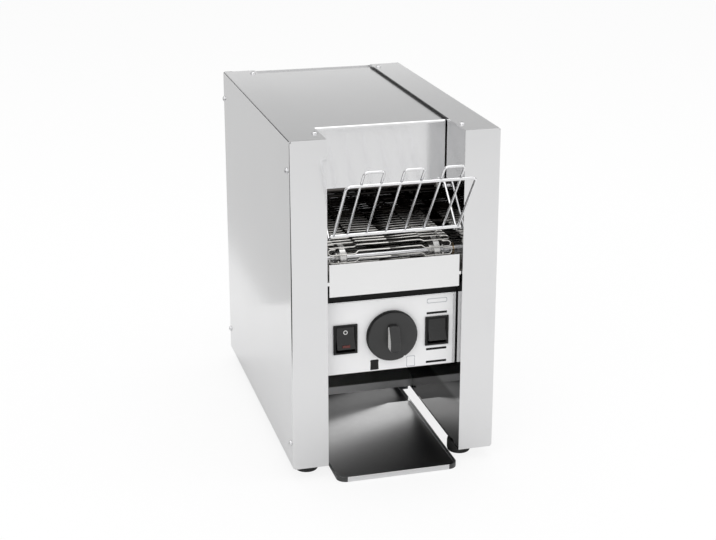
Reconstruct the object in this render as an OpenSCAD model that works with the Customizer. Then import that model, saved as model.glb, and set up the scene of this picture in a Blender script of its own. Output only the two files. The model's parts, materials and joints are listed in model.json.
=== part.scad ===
// Single-lane conveyor toaster for a counter top.
// Bread leans on the wire rack, rides back on the wire belt between two rows of heating tubes,
// drops down the chute behind and slides forward into the tray. +Y is the back, +Z is up.
// The origin is on the counter, under the middle of the whole outline.

/* [Casing] */
// Overall width of the casing
body_w = 240; // [225:1:300]
// Height of the casing without its feet
casing_h = 385; // [375:1:480]
// Depth of the casing from front face to back face
body_d = 390; // [380:1:480]
// Width of each side channel seen from the front
flange_w = 41.5; // [40:0.5:50]
// Thickness of the casing sheet
casing_t = 1.2; // [0.8:0.1:1.5]
// Outer radius of the casing's folds
fold_r = 2; // [1.6:0.1:3]
// Thickness of inner walls, hood and chute sheet
sheet_t = 1; // [0.8:0.1:1.2]

/* [Hood] */
// Drop of the hood's top below the casing's top
hood_drop = 3; // [2:0.5:8]
// Height of the hood's front apron
apron_h = 71.5; // [50:0.5:90]
// Distance of the apron behind the front face
apron_y = 66.5; // [62:0.5:80]
// Outer radius of the fold between hood top and apron
hood_fold_r = 3; // [2:0.5:6]

/* [Conveyor] */
// Height of the feed opening, from the belt to the apron's lower edge
feed_gap = 54.7; // [45:0.1:70]
// Spacing of the belt's strands
belt_pitch = 9; // [8:0.5:11]
// Diameter of the belt's wire
belt_wire_d = 1.8; // [1.4:0.1:2.2]
// Number of teeth on each belt wheel
belt_teeth = 12; // [12:4:16]
// Distance of the front shaft behind the front face
front_shaft_y = 36; // [34:1:50]
// Diameter of both belt shafts
shaft_d = 8; // [6:1:10]
// Clearance between the belt's edge and an inner wall
belt_side_gap = 6; // [5:0.5:12]

/* [Feed rack] */
// Lean of the rack forward from upright
rack_lean = 38.6; // [25:0.1:45]
// Length of the rack from its lower bar to its upper bar
rack_len = 91.4; // [70:0.1:110]
// Reach of the hoops past the upper bar
rack_tip = 19.2; // [8:0.1:30]
// Spacing of the rack's upright wires
rack_pitch = 22; // [16:0.5:26]
// Height of the lower bar above the belt
rack_lift = 19.7; // [15:0.1:30]
// Diameter of the rack's upright wires
rack_wire_d = 3; // [2.5:0.1:4]
// Diameter of the rack's lower bar
rack_bar_d = 4; // [3.5:0.1:5]

/* [Control panel] */
// Gap between each end of the control panel and an inner wall
panel_side_gap = 1.3; // [1:0.1:5]
// Height of the control panel
panel_h = 87.5; // [80:0.5:95]
// Distance of the panel behind the front face
panel_y = 17; // [12:0.5:25]
// Diameter of the speed knob
knob_d = 60; // [50:0.5:66]
// Height of the knob's grip above its skirt
knob_grip_h = 12; // [10:0.5:18]
// Width of a switch frame
switch_w = 28; // [24:0.5:32]
// Height of a switch frame
switch_h = 35; // [30:0.5:40]
// Distance of each switch's middle from an inner wall
switch_inset = 24.2; // [20:0.1:28]

/* [Trays] */
// Gap between each side of the toast tray and an inner wall
tray_side_gap = 6.5; // [4.5:0.5:16]
// Height of the toast tray's rim
tray_h = 6; // [5:0.5:12]
// Reach of the toast tray in front of the casing
tray_reach = 19; // [5:0.5:40]
// Length of the toast tray
tray_len = 259; // [230:1:300]
// Gap between each end of the crumb tray's front plate and an inner wall
crumb_side_gap = 2.75; // [1.5:0.25:5]
// Height of the crumb tray's front plate
crumb_front_h = 38; // [30:0.5:45]
// Distance of the chute's lip behind the front face
lip_y = 181; // [150:1:200]
// Height of the chute's lip above the casing's underside
lip_z = 15.6; // [12:0.1:25]

/* [Feet and screws] */
// Height of the feet
foot_h = 14; // [10:0.5:25]
// Diameter of the feet
foot_d = 28; // [20:0.5:30]
// Diameter of a casing screw's head
head_d = 7; // [6:0.1:8]
// Diameter of a casing screw's shank
screw_d = 3.9; // [3:0.1:4]

/* [Hidden] */
$fn = 64;

// Widths
half_w = body_w / 2;
bay_w = body_w - 2 * flange_w;
half_bay = bay_w / 2;
wall_out = half_bay + sheet_t;
skin_in = half_w - casing_t;
panel_w = bay_w - 2 * panel_side_gap;
crumb_plate_w = bay_w - 2 * crumb_side_gap;
tray_w = bay_w - 2 * tray_side_gap;
rear_flange = 12;
seat_gap = 0.3;
fit_gap = 0.05;
press_gap = 0.02;
hole_gap = 0.2;

// Levels above the casing's underside, from the top down
hood_z = casing_h - hood_drop;
apron_z = hood_z - apron_h;
deck_z = apron_z - feed_gap;
wheel_r = belt_pitch / (2 * sin(180 / belt_teeth));
belt_r = belt_wire_d / 2;
shaft_z = deck_z - belt_r - wheel_r;
crumb_top_z = shaft_z + 4;
crumb_low_z = crumb_top_z - crumb_front_h;
panel_gap = 12;
panel_top_z = crumb_low_z - panel_gap;
panel_low_z = panel_top_z - panel_h;
panel_mid_z = (panel_top_z + panel_low_z) / 2 - 0.8;

// Belt
belt_w = bay_w - 2 * belt_side_gap;
rear_space = 84;
belt_steps = floor((body_d - front_shaft_y - rear_space) / belt_pitch);
drive_y = front_shaft_y + belt_steps * belt_pitch;
belt_wheel_x = half_bay - 23.5;
belt_end_y = drive_y + wheel_r + belt_r;

// Rack
rack_z = deck_z + rack_lift;
rack_off = (rack_bar_d + rack_wire_d) / 2 - 0.4;
rack_side_x = half_bay - 7;
rack_arm_x = half_bay - 4.5;
rack_reach = (rack_len + rack_tip) * sin(rack_lean) - rack_off * cos(rack_lean) + rack_wire_d / 2;
arm_slope = 43.6;
arm_len = 63;
arm_foot = [11, rack_z - 7];
arm_top = arm_foot + arm_len * [cos(arm_slope), sin(arm_slope)];
hook_len = 6;
stud_d = 4;
stud_seat = rack_wire_d / 2 + stud_d / 2 + 0.15;
hook_stud = arm_top + stud_seat * sqrt(2) * [cos(arm_slope - 135), sin(arm_slope - 135)];
foot_stud = arm_foot + 4 * [cos(arm_slope), sin(arm_slope)]
    + stud_seat * [cos(arm_slope - 90), sin(arm_slope - 90)];

// Heating tubes
tube_d = 8;
upper_tube_z = apron_z - 10.5;
upper_tube_y = [for (k = [0 : 4]) front_shaft_y + 64 + k * (drive_y - front_shaft_y - 90) / 4];
lower_tube_y = [for (k = [0 : 3]) front_shaft_y + 54 + k * (drive_y - front_shaft_y - 108) / 3];
support_rod_y = [front_shaft_y + 30, drive_y - 28];
support_rod_d = 6;
support_h = 10;
support_top_z = shaft_z + wheel_r - belt_r - seat_gap;
bush_bore_d = 14;

// Chute
chute_y = drive_y + wheel_r + 29;
chute_slope = 14;
chute_r = 70;
chute_cz = lip_z + (chute_r + (chute_y - chute_r - lip_y) * sin(chute_slope)) / cos(chute_slope);
chute_top_z = apron_z - 15;
lip_h = 10;

// Toast tray
tray_t = 0.8;
tray_z = 0.3 - foot_h;
tray_corner_r = 11;

// Drive
chain_pitch = 6.35;
chain_teeth = 12;
chain_roller_d = 3.2;
chain_wheel_r = chain_pitch / (2 * sin(180 / chain_teeth));
chain_steps = 16;
motor_y = drive_y;
motor_z = shaft_z - chain_steps * chain_pitch;
chain_x = wall_out + 27;
motor_d = 58;
motor_shaft_d = 6;

// Places of screws and feet
side_screw_z = [28, casing_h - 35];
side_screw_y = [12.5, body_d - 5];
top_screw_y = [30, body_d - 22];
top_screw_x = half_bay + 6;
foot_y = [30, body_d - 30];
left_foot_x = -(half_w - 22);
right_foot_x = half_w - 31;
head_h = 2.2;
panel_screw_x = half_bay - 23.5;
panel_screw_z = panel_top_z + 5;

// Control parts
box_w = bay_w - 0.6;
box_d = 78;
label_t = 0.4;
switch_x = half_bay - switch_inset;
regulator_bush_d = 9.5;
knob_shaft_d = 6;
knob_skirt_h = 7;
knob_gap = 0.6;
knob_face_y = panel_y - label_t - knob_gap;
knob_front_y = knob_face_y - knob_skirt_h;
grip_front_y = knob_front_y - knob_grip_h;
grip_l = 0.49 * knob_d;
grip_w = 12;
grip_corner_r = 3;
grip_slope = 32;
rocker_tilt = 12;
rocker_pivot_y = panel_y + 6;
rocker_half_h = 13.2;
rocker_w = switch_w - 7;

// Back
fan_size = 80;
fan_bore_d = 76;
fan_z = 150;
fan_t = 25;
gland_x = -58;
gland_z = 36;
gland_reach = 16;

front_y = (rack_reach - body_d - gland_reach) / 2;

// Everything is drawn from the casing's front face and underside, then moved to the counter.
module at_front() {
    translate([0, front_y, foot_h]) children();
}

module rod_x(d, x0, x1, y, z) {
    translate([x0, y, z]) rotate([0, 90, 0]) cylinder(d = d, h = x1 - x0);
}

module rod_y(d, y0, y1, x, z) {
    translate([x, y0, z]) rotate([-90, 0, 0]) cylinder(d = d, h = y1 - y0);
}

// A round wire between two points
module wire(d, a, b) {
    v = b - a;
    len = norm(v);
    turn = atan2(v[1], v[0]);
    tilt = acos(v[2] / len);
    translate(a) rotate([0, tilt, turn]) cylinder(d = d, h = len);
}

// Rounds the corner where two wires meet
module bead(d, p) {
    translate(p) sphere(d = d + 0.1);
}

module mirrored(side) {
    if (side < 0) children();
    else mirror([1, 0, 0]) children();
}

// A quarter ring: the section of a fold
module fold(r, t, turn) {
    rotate(turn) intersection() {
        difference() {
            circle(r);
            circle(r - t);
        }
        square(r + 1);
    }
}

// An outline drawn in x and z, pushed back from y0 to y1
module along_y(y0, y1) {
    translate([0, y1, 0]) rotate([90, 0, 0]) linear_extrude(y1 - y0) children();
}

// An outline drawn in y and z, pushed sideways from x0 to x1
module along_x(x0, x1) {
    translate([x0, 0, 0]) rotate([90, 0, 90]) linear_extrude(x1 - x0) children();
}

// A pan head with a cross recess: it sits at z = 0 and its shank runs down
module pan_screw(shank) {
    cap_h = 1;
    base_r = head_d / 2 - 0.25;
    cap_r = (base_r * base_r + cap_h * cap_h) / (2 * cap_h);
    rim_h = head_h - cap_h;
    difference() {
        union() {
            cylinder(d = head_d, h = rim_h);
            translate([0, 0, rim_h]) intersection() {
                translate([0, 0, cap_h - cap_r]) sphere(r = cap_r, $fn = 96);
                translate([-head_d, -head_d, -0.01]) cube([2 * head_d, 2 * head_d, 2 * cap_h]);
            }
            translate([0, 0, -shank]) cylinder(d = screw_d, h = shank);
        }
        for (a = [0, 90]) rotate(a) translate([-1.9, -0.45, 1]) cube([3.8, 0.9, 2]);
    }
}

// ---- Casing ----

module casing_half() {
    x0 = -half_w;
    difference() {
        union() {
            translate([0, 0, fold_r]) linear_extrude(casing_h - 2 * fold_r) {
                translate([x0, fold_r]) square([casing_t, body_d - 2 * fold_r]);
                translate([x0 + fold_r, fold_r]) fold(fold_r, casing_t, 180);
                translate([x0 + fold_r, body_d - fold_r]) fold(fold_r, casing_t, 90);
            }
            translate([x0 + fold_r, 0, 0]) cube([flange_w - fold_r, casing_t, casing_h]);
            translate([x0 + fold_r, body_d - casing_t, 0])
                cube([rear_flange - fold_r, casing_t, casing_h]);
            along_y(fold_r, body_d - fold_r) {
                translate([x0 + fold_r, casing_h - fold_r]) fold(fold_r, casing_t, 90);
                translate([x0 + fold_r, casing_h - casing_t]) square([flange_w - fold_r, casing_t]);
                translate([x0 + fold_r, fold_r]) fold(fold_r, casing_t, 180);
                translate([x0 + fold_r, 0]) square([flange_w - fold_r - sheet_t, casing_t]);
            }
        }
        for (y = side_screw_y, z = side_screw_z) rod_x(screw_d + 2 * hole_gap, x0 - 1, x0 + 3, y, z);
        for (y = top_screw_y) translate([-top_screw_x, y, casing_h - 3])
            cylinder(d = screw_d + 2 * hole_gap, h = 4);
    }
}

module foot_bolt_holes(x) {
    for (y = foot_y) translate([x, y, -1]) cylinder(d = 5.4, h = 4);
}

module left_casing() {
    color("silver") at_front() difference() {
        casing_half();
        foot_bolt_holes(left_foot_x);
    }
}

module right_casing() {
    color("silver") at_front() difference() {
        mirror([1, 0, 0]) casing_half();
        foot_bolt_holes(right_foot_x);
    }
}

// A wall of the bay: shafts, rods and heating tubes pass through it
module inner_wall() {
    y0 = casing_t;
    y1 = body_d - casing_t;
    difference() {
        union() {
            translate([-wall_out, y0, 0]) cube([sheet_t, y1 - y0, casing_h - casing_t]);
            translate([-wall_out - 11, y0 + 1, casing_h - casing_t - sheet_t])
                cube([11, y1 - y0 - 2, sheet_t]);
        }
        x0 = -wall_out - 1;
        x1 = -half_bay + 1;
        rod_x(bush_bore_d, x0, x1, front_shaft_y, shaft_z);
        rod_x(bush_bore_d, x0, x1, drive_y, shaft_z);
        for (y = upper_tube_y) rod_x(bush_bore_d, x0, x1, y, upper_tube_z);
        for (y = lower_tube_y) rod_x(bush_bore_d, x0, x1, y, shaft_z);
        for (y = support_rod_y) rod_x(support_rod_d + 2 * fit_gap, x0, x1, y, support_rod_z());
        for (p = [hook_stud, foot_stud]) rod_x(stud_d + 2 * fit_gap, x0, x1, p[0], p[1]);
        for (y = hood_screw_y()) rod_x(screw_d + 2 * hole_gap, x0, x1, y, hood_z - 8);
        for (y = top_screw_y) translate([-top_screw_x, y, casing_h - 4])
            cylinder(d = screw_d + 2 * hole_gap, h = 4);
    }
}

function support_rod_z() = support_top_z - support_h + 3.3;
function hood_screw_y() = [apron_y + 34, body_d - 40];

module left_inner_wall() {
    color("gainsboro") at_front() difference() {
        inner_wall();
        // Way for the supply leads into the side compartment
        rod_x(10, -wall_out - 1, -half_bay + 1, body_d - 30, gland_z);
    }
}

module right_inner_wall() {
    color("gainsboro") at_front() mirror([1, 0, 0]) inner_wall();
}

// Top cover and front apron, one folded sheet recessed between the inner walls
module hood() {
    r = hood_fold_r;
    w = bay_w - 2 * seat_gap;
    aw = bay_w - 2.4;
    y1 = body_d - casing_t - seat_gap;
    color("silver") at_front() difference() {
        union() {
            along_x(-w / 2, w / 2)
                translate([apron_y + r, hood_z - sheet_t]) square([y1 - apron_y - r, sheet_t]);
            along_x(-aw / 2, aw / 2) {
                translate([apron_y + r, hood_z - r]) fold(r, sheet_t, 90);
                translate([apron_y, apron_z]) square([sheet_t, apron_h - r]);
                translate([apron_y, apron_z]) square([11, sheet_t]);
            }
            for (s = [-1, 1]) translate([s * (w - sheet_t) / 2 - sheet_t / 2, apron_y + 20, hood_z - 14])
                cube([sheet_t, y1 - apron_y - 20, 14]);
        }
        for (y = hood_screw_y()) rod_x(screw_d - 0.6, -half_bay, half_bay, y, hood_z - 8);
    }
}

// Short screws from the side compartments into the hood's side folds
module hood_screws() {
    color("dimgray") at_front() for (s = [-1, 1], y = hood_screw_y())
        translate([s * wall_out, y, hood_z - 8]) rotate([0, s * 90, 0]) {
            cylinder(d = head_d, h = 2);
            translate([0, 0, -sheet_t - seat_gap]) cylinder(d = screw_d, h = sheet_t + seat_gap);
        }
}

module back_panel() {
    w = 2 * (half_w - rear_flange - 0.3);
    z0 = 2;
    z1 = casing_h - casing_t - 0.3;
    color("silver") at_front() difference() {
        translate([-w / 2, body_d - casing_t, z0]) cube([w, casing_t, z1 - z0]);
        for (k = [-4 : 4]) vent_slot(0, fan_z + k * 8, 2 * sqrt(37 * 37 - k * k * 64));
        for (k = [0 : 5], s = [-1, 1]) vent_slot(s * 34, casing_h - 95 + k * 9, 46);
        rod_y(12.4, body_d - 4, body_d + 1, gland_x, gland_z);
        for (s = [-1, 1], z = back_screw_z())
            rod_y(screw_d + 2 * hole_gap, body_d - 4, body_d + 1, s * back_screw_x(), z);
    }
}

function back_screw_x() = half_w - rear_flange - 8;
function back_screw_z() = [20, casing_h / 2, casing_h - 20];

// A slot with round ends, cut through the back panel
module vent_slot(x, z, len) {
    h = 3.6;
    translate([x - len / 2 + h / 2, body_d - 4, z - h / 2]) cube([len - h, 6, h]);
    for (s = [-1, 1]) rod_y(h, body_d - 4, body_d + 2, x + s * (len - h) / 2, z);
}

// Folded posts between inner wall and casing, front and rear, both sides
module corner_post(y_web, y_leg0, y_leg1, y_short0, y_short1) {
    h = casing_h - casing_t - sheet_t - 0.6;
    z0 = fold_r + 0.3;
    x_web = half_w - fold_r - 0.1;
    translate([-x_web, y_web, z0]) cube([x_web - wall_out, casing_t, h - z0]);
    translate([-skin_in, y_leg0, z0]) cube([casing_t, y_leg1 - y_leg0, h - z0]);
    translate([-wall_out - casing_t, y_short0, z0]) cube([casing_t, y_short1 - y_short0, h - z0]);
}

module corner_posts() {
    yf = casing_t;
    yr = body_d - 2 * casing_t;
    color("gray") at_front() for (s = [-1, 1]) mirrored(s) difference() {
        union() {
            corner_post(yf, fold_r + 0.1, yf + 19, yf, yf + 8);
            corner_post(yr, yr - 18, body_d - fold_r - 0.1, yr - 8, yr + casing_t);
        }
        for (y = side_screw_y, z = side_screw_z) rod_x(screw_d - 0.6, -half_w, -skin_in + 4, y, z);
        for (z = back_screw_z()) rod_y(screw_d - 0.6, body_d - 5, body_d, -back_screw_x(), z);
    }
}

// Closes the bottom behind the chute's low end
module base_plate() {
    w = bay_w - 2 * seat_gap;
    y0 = tray_len - tray_reach + 6;
    color("gray") at_front() difference() {
        union() {
            translate([-w / 2, y0, 0]) cube([w, body_d - casing_t - seat_gap - y0, casing_t]);
            for (s = [-1, 1]) translate([s * (w - casing_t) / 2 - casing_t / 2, y0, 0])
                cube([casing_t, body_d - casing_t - seat_gap - y0, 12]);
        }
        for (k = [0 : 5]) translate([-40, y0 + 30 + k * 14, -1]) cube([80, 5, 4]);
    }
}

// ---- Feet and screws ----

module feet() {
    color([0.08, 0.08, 0.08]) at_front() for (x = [left_foot_x, right_foot_x], y = foot_y)
        translate([x, y, -foot_h]) difference() {
            union() {
                cylinder(d1 = foot_d - 2, d2 = foot_d, h = 3);
                translate([0, 0, 3]) cylinder(d = foot_d, h = foot_h - 3);
            }
            translate([0, 0, -1]) cylinder(d = 11, h = 6);
            translate([0, 0, -1]) cylinder(d = 5.2, h = foot_h + 2);
        }
}

module foot_bolts() {
    color("gray") at_front() for (x = [left_foot_x, right_foot_x], y = foot_y) translate([x, y, 0]) {
        translate([0, 0, 5 - foot_h - 3]) cylinder(d = 9, h = 3);
        translate([0, 0, 5 - foot_h]) cylinder(d = 4.9, h = foot_h - 5 + casing_t + 5);
        translate([0, 0, casing_t]) cylinder(d = 9, h = 4, $fn = 6);
    }
}

module casing_screws() {
    color("gainsboro") at_front() {
        for (s = [-1, 1], y = side_screw_y, z = side_screw_z)
            translate([s * half_w, y, z]) rotate([0, s * 90, 0]) pan_screw(casing_t);
        for (s = [-1, 1], y = top_screw_y)
            translate([s * top_screw_x, y, casing_h]) pan_screw(casing_t + sheet_t + 2);
        for (s = [-1, 1], z = back_screw_z())
            translate([s * back_screw_x(), body_d, z]) rotate([-90, 0, 0]) pan_screw(casing_t);
    }
}

// ---- Control box ----

module control_box() {
    y0 = panel_y + casing_t + seat_gap;
    z0 = panel_low_z + 1;
    top_z = panel_top_z + 10;
    color([0.1, 0.1, 0.1]) at_front() difference() {
        translate([-box_w / 2, y0, z0]) cube([box_w, box_d, top_z - z0]);
        // Inside of the box, open at the back for its cover
        translate([-box_w / 2 + sheet_t, y0 + sheet_t, z0 + sheet_t])
            cube([box_w - 2 * sheet_t, box_d, panel_top_z - z0 - 2 * sheet_t]);
        // The front edge rises above the box's roof
        translate([-box_w / 2 - 1, y0 + sheet_t + 9, panel_top_z])
            cube([box_w + 2, box_d, 20]);
        translate([-box_w / 2 + sheet_t, y0 + sheet_t, panel_top_z - 0.01])
            cube([box_w - 2 * sheet_t, 30, 9]);
        // Window behind the panel
        translate([-panel_w / 2 + 6, y0 - 1, z0 + 8])
            cube([panel_w - 12, 4, panel_top_z - z0 - 16]);
        for (s = [-1, 1]) rod_y(screw_d - 0.6, y0 - 2, y0 + 4, s * panel_screw_x, panel_screw_z);
    }
}

module panel_cutouts(y0, y1) {
    for (s = [-1, 1]) translate([s * switch_x - switch_w / 2 + 1.3, y0, panel_mid_z - switch_h / 2 + 0.9])
        cube([switch_w - 2.6, y1 - y0, switch_h - 1.8]);
    rod_y(regulator_bush_d + 2 * hole_gap, y0, y1, 0, panel_mid_z);
}

module control_panel() {
    color("silver") at_front() difference() {
        translate([-panel_w / 2, panel_y, panel_low_z]) cube([panel_w, casing_t, panel_h]);
        panel_cutouts(panel_y - 1, panel_y + 3);
    }
}

module panel_label() {
    color("white") at_front() difference() {
        translate([-panel_w / 2 + 1.5, panel_y - label_t, panel_low_z + 1])
            cube([panel_w - 5, label_t, panel_h - 2]);
        panel_cutouts(panel_y - 2, panel_y + 1);
    }
}

module panel_screws() {
    y0 = panel_y + casing_t + seat_gap;
    color("gray") at_front() for (s = [-1, 1]) translate([s * panel_screw_x, y0, panel_screw_z])
        rotate([90, 0, 0]) {
            cylinder(d = 5, h = 1.2);
            translate([0, 0, -3]) cylinder(d = screw_d - 0.8, h = 3.1);
        }
}

module box_back_cover() {
    y0 = panel_y + casing_t + seat_gap + box_d;
    z0 = panel_low_z + 1;
    color("gray") at_front() difference() {
        translate([-box_w / 2, y0, z0]) cube([box_w, sheet_t, panel_top_z - z0]);
        for (k = [-3 : 3]) translate([k * 14 - 2, y0 - 1, z0 + 25]) cube([4, 3, 36]);
    }
}

// ---- Switches ----

module switch_housing() {
    rim_t = 2;
    body_w2 = switch_w - 3;
    body_h2 = switch_h - 2.2;
    y0 = panel_y - label_t;
    difference() {
        union() {
            translate([-switch_w / 2, y0 - rim_t, -switch_h / 2]) cube([switch_w, rim_t, switch_h]);
            translate([-body_w2 / 2, y0 - 0.5, -body_h2 / 2]) cube([body_w2, 30, body_h2]);
            for (k = [-1, 0, 1]) translate([-3, y0 + 29, k * 9 - 0.4]) cube([6, 10, 0.8]);
        }
        translate([-rocker_w / 2 - 0.8, y0 - rim_t - 1, -switch_h / 2 + 2.2])
            cube([rocker_w + 1.6, 24, switch_h - 4.4]);
    }
    // Pivot stubs that the rocker turns on
    for (s = [-1, 1]) mirrored(s) rod_x(3, -rocker_w / 2 - 1.1, -rocker_w / 2 + 1.2, rocker_pivot_y, 0);
}

// The rocker's side outline about its pivot: u points out of the panel, w points up
module rocker_outline() {
    crease = 8;
    tip = 10.5;
    difference() {
        union() {
            polygon([[-3, -9], [tip - 4, -rocker_half_h], [tip, -rocker_half_h + 0.4], [crease, 0],
                [tip, rocker_half_h - 0.4], [tip - 4, rocker_half_h], [-3, 9]]);
            circle(r = 5);
        }
        circle(d = 3 + 2 * fit_gap);
    }
}

// Rest position: the upper end is pressed in
module rocker_shape(lens_cut) {
    difference() {
        translate([0, rocker_pivot_y, 0]) rotate([-rocker_tilt, 0, 0])
            translate([-rocker_w / 2, 0, 0]) rotate([90, 0, 90]) mirror([1, 0, 0])
                linear_extrude(rocker_w) rocker_outline();
        if (lens_cut) lens_block(0.05);
    }
}

module lens_block(gap) {
    translate([0, rocker_pivot_y, 0]) rotate([-rocker_tilt, 0, 0])
        translate([-4.5 - gap, -10.1, -rocker_half_h + 1.2 - gap])
            cube([9 + 2 * gap, 3, 4 + 2 * gap]);
}

module power_switch_housing() {
    color([0.1, 0.1, 0.1]) at_front() translate([-switch_x, 0, panel_mid_z]) switch_housing();
}

module power_rocker() {
    color([0.15, 0.15, 0.15]) at_front() translate([-switch_x, 0, panel_mid_z]) rocker_shape(true);
}

module power_lens() {
    color("firebrick") at_front() translate([-switch_x, 0, panel_mid_z]) lens_block(0);
}

module bread_switch_housing() {
    color([0.1, 0.1, 0.1]) at_front() translate([switch_x, 0, panel_mid_z]) switch_housing();
}

module bread_rocker() {
    color([0.15, 0.15, 0.15]) at_front() translate([switch_x, 0, panel_mid_z]) rocker_shape(false);
}

// ---- Speed control ----

// Outline of the knob's grip seen from the front
module grip_outline() {
    long = grip_l - 2 * grip_corner_r;
    wide = grip_w - 2 * grip_corner_r;
    square([grip_w, long], center = true);
    square([wide, grip_l], center = true);
    for (sx = [-1, 1], sz = [-1, 1]) translate([sx * wide / 2, sz * long / 2]) circle(grip_corner_r);
}

// The space above the slope of the grip's upper half
module over_grip_slope(set_back) {
    translate([0, grip_front_y + set_back, 1]) rotate([-grip_slope, 0, 0])
        translate([-grip_w, -grip_l, 0]) cube([2 * grip_w, grip_l, 2 * grip_l]);
}

module speed_knob() {
    color([0.12, 0.12, 0.12]) at_front() translate([0, 0, panel_mid_z]) difference() {
        union() {
            rod_y(knob_d, knob_front_y + 1.5, knob_face_y, 0, 0);
            translate([0, knob_front_y + 1.5, 0]) rotate([90, 0, 0])
                cylinder(d1 = knob_d, d2 = knob_d - 3, h = 1.5);
            along_y(grip_front_y, knob_face_y - 1) grip_outline();
        }
        over_grip_slope(0);
        rod_y(knob_shaft_d + 2 * fit_gap, knob_face_y - 12, knob_face_y + 1, 0, 0);
        pointer_bar(0.05);
        for (a = [23, -61]) rotate([0, -a, 0]) translate([knob_d / 2 - 1.5, knob_face_y - 8, -0.8])
            cube([3, 9, 1.6]);
    }
}

// The pointer lies in the grip's left flank and follows the slope
module pointer_bar(gap) {
    long = grip_l - 2 * grip_corner_r - 0.6;
    difference() {
        translate([-grip_w / 2 - 0.01, grip_front_y + 0.8 - gap, -long / 2 - gap])
            cube([0.81 + gap, knob_grip_h - 1.6 + 2 * gap, long + 2 * gap]);
        over_grip_slope(0.8 - gap);
    }
}

module knob_pointer() {
    color("white") at_front() translate([0, 0, panel_mid_z]) pointer_bar(0);
}

module regulator_shaft() {
    color("silver") at_front()
        rod_y(knob_shaft_d, knob_face_y - 11.5, panel_y + 16, 0, panel_mid_z);
}

module speed_regulator() {
    yb = panel_y + casing_t;
    color("gray") at_front() difference() {
        union() {
            rod_y(regulator_bush_d, knob_face_y + 0.4, yb + 1, 0, panel_mid_z);
            rod_y(30, yb, yb + 18, 0, panel_mid_z);
            for (a = [-30, 0, 30]) translate([0, yb + 9, panel_mid_z]) rotate([0, a, 0])
                translate([-1.5, -0.4, -22]) cube([3, 0.8, 10]);
        }
        rod_y(knob_shaft_d + 2 * fit_gap, knob_face_y - 2, panel_y + 16.4, 0, panel_mid_z);
    }
}

// ---- Crumb tray ----

crumb_pan_w = belt_w + 1;
crumb_len = drive_y - 20;
crumb_floor_z = crumb_low_z + 2;
crumb_rim_z = shaft_z - wheel_r - belt_r - 1;

// Pan, side rims that run on the rails, and the front plate with a lug at each end
module crumb_tray() {
    y0 = 3;
    pan_y = y0 + casing_t;
    rim_x = half_bay - 0.5;
    color("silver") at_front() union() {
        translate([-crumb_plate_w / 2, y0, crumb_low_z]) cube([crumb_plate_w, casing_t, crumb_front_h]);
        translate([-crumb_pan_w / 2, pan_y, crumb_floor_z]) cube([crumb_pan_w, crumb_len, sheet_t]);
        translate([-crumb_pan_w / 2, pan_y + crumb_len - sheet_t, crumb_floor_z])
            cube([crumb_pan_w, sheet_t, 9]);
        for (s = [-1, 1]) mirrored(s) {
            translate([-crumb_pan_w / 2, pan_y, crumb_floor_z])
                cube([sheet_t, crumb_len, crumb_rim_z - crumb_floor_z]);
            translate([-rim_x, pan_y, crumb_rim_z - sheet_t])
                cube([rim_x - crumb_pan_w / 2 + sheet_t, crumb_len, sheet_t]);
            translate([-rim_x, y0, crumb_rim_z - sheet_t])
                cube([rim_x - crumb_plate_w / 2 + 1, casing_t, 4]);
        }
    }
}

module crumb_tray_rails() {
    y0 = 24;
    w = half_bay - crumb_pan_w / 2 - 0.6;
    color("gray") at_front() for (s = [-1, 1]) mirrored(s) {
        translate([-half_bay, y0, crumb_rim_z - 2 * sheet_t - seat_gap])
            cube([w, crumb_len - 24, sheet_t]);
        translate([-half_bay, y0, crumb_rim_z - sheet_t - seat_gap - 9]) cube([sheet_t, crumb_len - 24, 9]);
    }
}

// ---- Feed rack ----

// A point on the rack's plane: along it from the lower bar, and off it towards the oven
function rack_yz(along, off) = [-along * sin(rack_lean) + off * cos(rack_lean),
    rack_z + along * cos(rack_lean) + off * sin(rack_lean)];
function at_x(x, p) = [x, p[0], p[1]];

module feed_rack() {
    low = rack_yz(0, 0);
    top = rack_yz(rack_len, 0);
    low_in = rack_yz(0, rack_off);
    top_in = rack_yz(rack_len + rack_tip, rack_off);
    top_bar_d = rack_bar_d - 0.4;
    hook = arm_top + hook_len * [cos(arm_slope - 90), sin(arm_slope - 90)];
    color("white") at_front() union() {
        rod_x(rack_bar_d, -rack_arm_x, rack_arm_x, low[0], low[1]);
        rod_x(top_bar_d, -rack_side_x, rack_side_x, top[0], top[1]);
        for (s = [-1, 1]) {
            wire(rack_wire_d, at_x(s * rack_side_x, low), at_x(s * rack_side_x, top));
            bead(top_bar_d, at_x(s * rack_side_x, top));
            bead(rack_bar_d, at_x(s * rack_arm_x, low));
            wire(rack_wire_d, at_x(s * rack_arm_x, low), at_x(s * rack_arm_x, arm_foot));
            bead(rack_wire_d, at_x(s * rack_arm_x, arm_foot));
            wire(rack_wire_d, at_x(s * rack_arm_x, arm_foot), at_x(s * rack_arm_x, arm_top));
            bead(rack_wire_d, at_x(s * rack_arm_x, arm_top));
            wire(rack_wire_d, at_x(s * rack_arm_x, arm_top), at_x(s * rack_arm_x, hook));
        }
        for (k = [-1, 0, 1]) {
            xa = k * 2 * rack_pitch - rack_pitch / 2;
            xb = xa + rack_pitch;
            for (x = [xa, xb]) {
                wire(rack_wire_d, at_x(x, low_in), at_x(x, top_in));
                bead(rack_wire_d, at_x(x, top_in));
            }
            wire(rack_wire_d, at_x(xa, top_in), at_x(xb, top_in));
        }
    }
}

// Headed studs through the inner walls: two hold each arm
module rack_studs() {
    tip_x = rack_arm_x - rack_wire_d / 2 - 0.6;
    color("gainsboro") at_front() for (s = [-1, 1], p = [hook_stud, foot_stud]) mirrored(s) {
        rod_x(stud_d, -wall_out - 2, -tip_x, p[0], p[1]);
        rod_x(stud_d + 4, -wall_out - 3.5, -wall_out, p[0], p[1]);
    }
}

// ---- Conveyor ----

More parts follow.
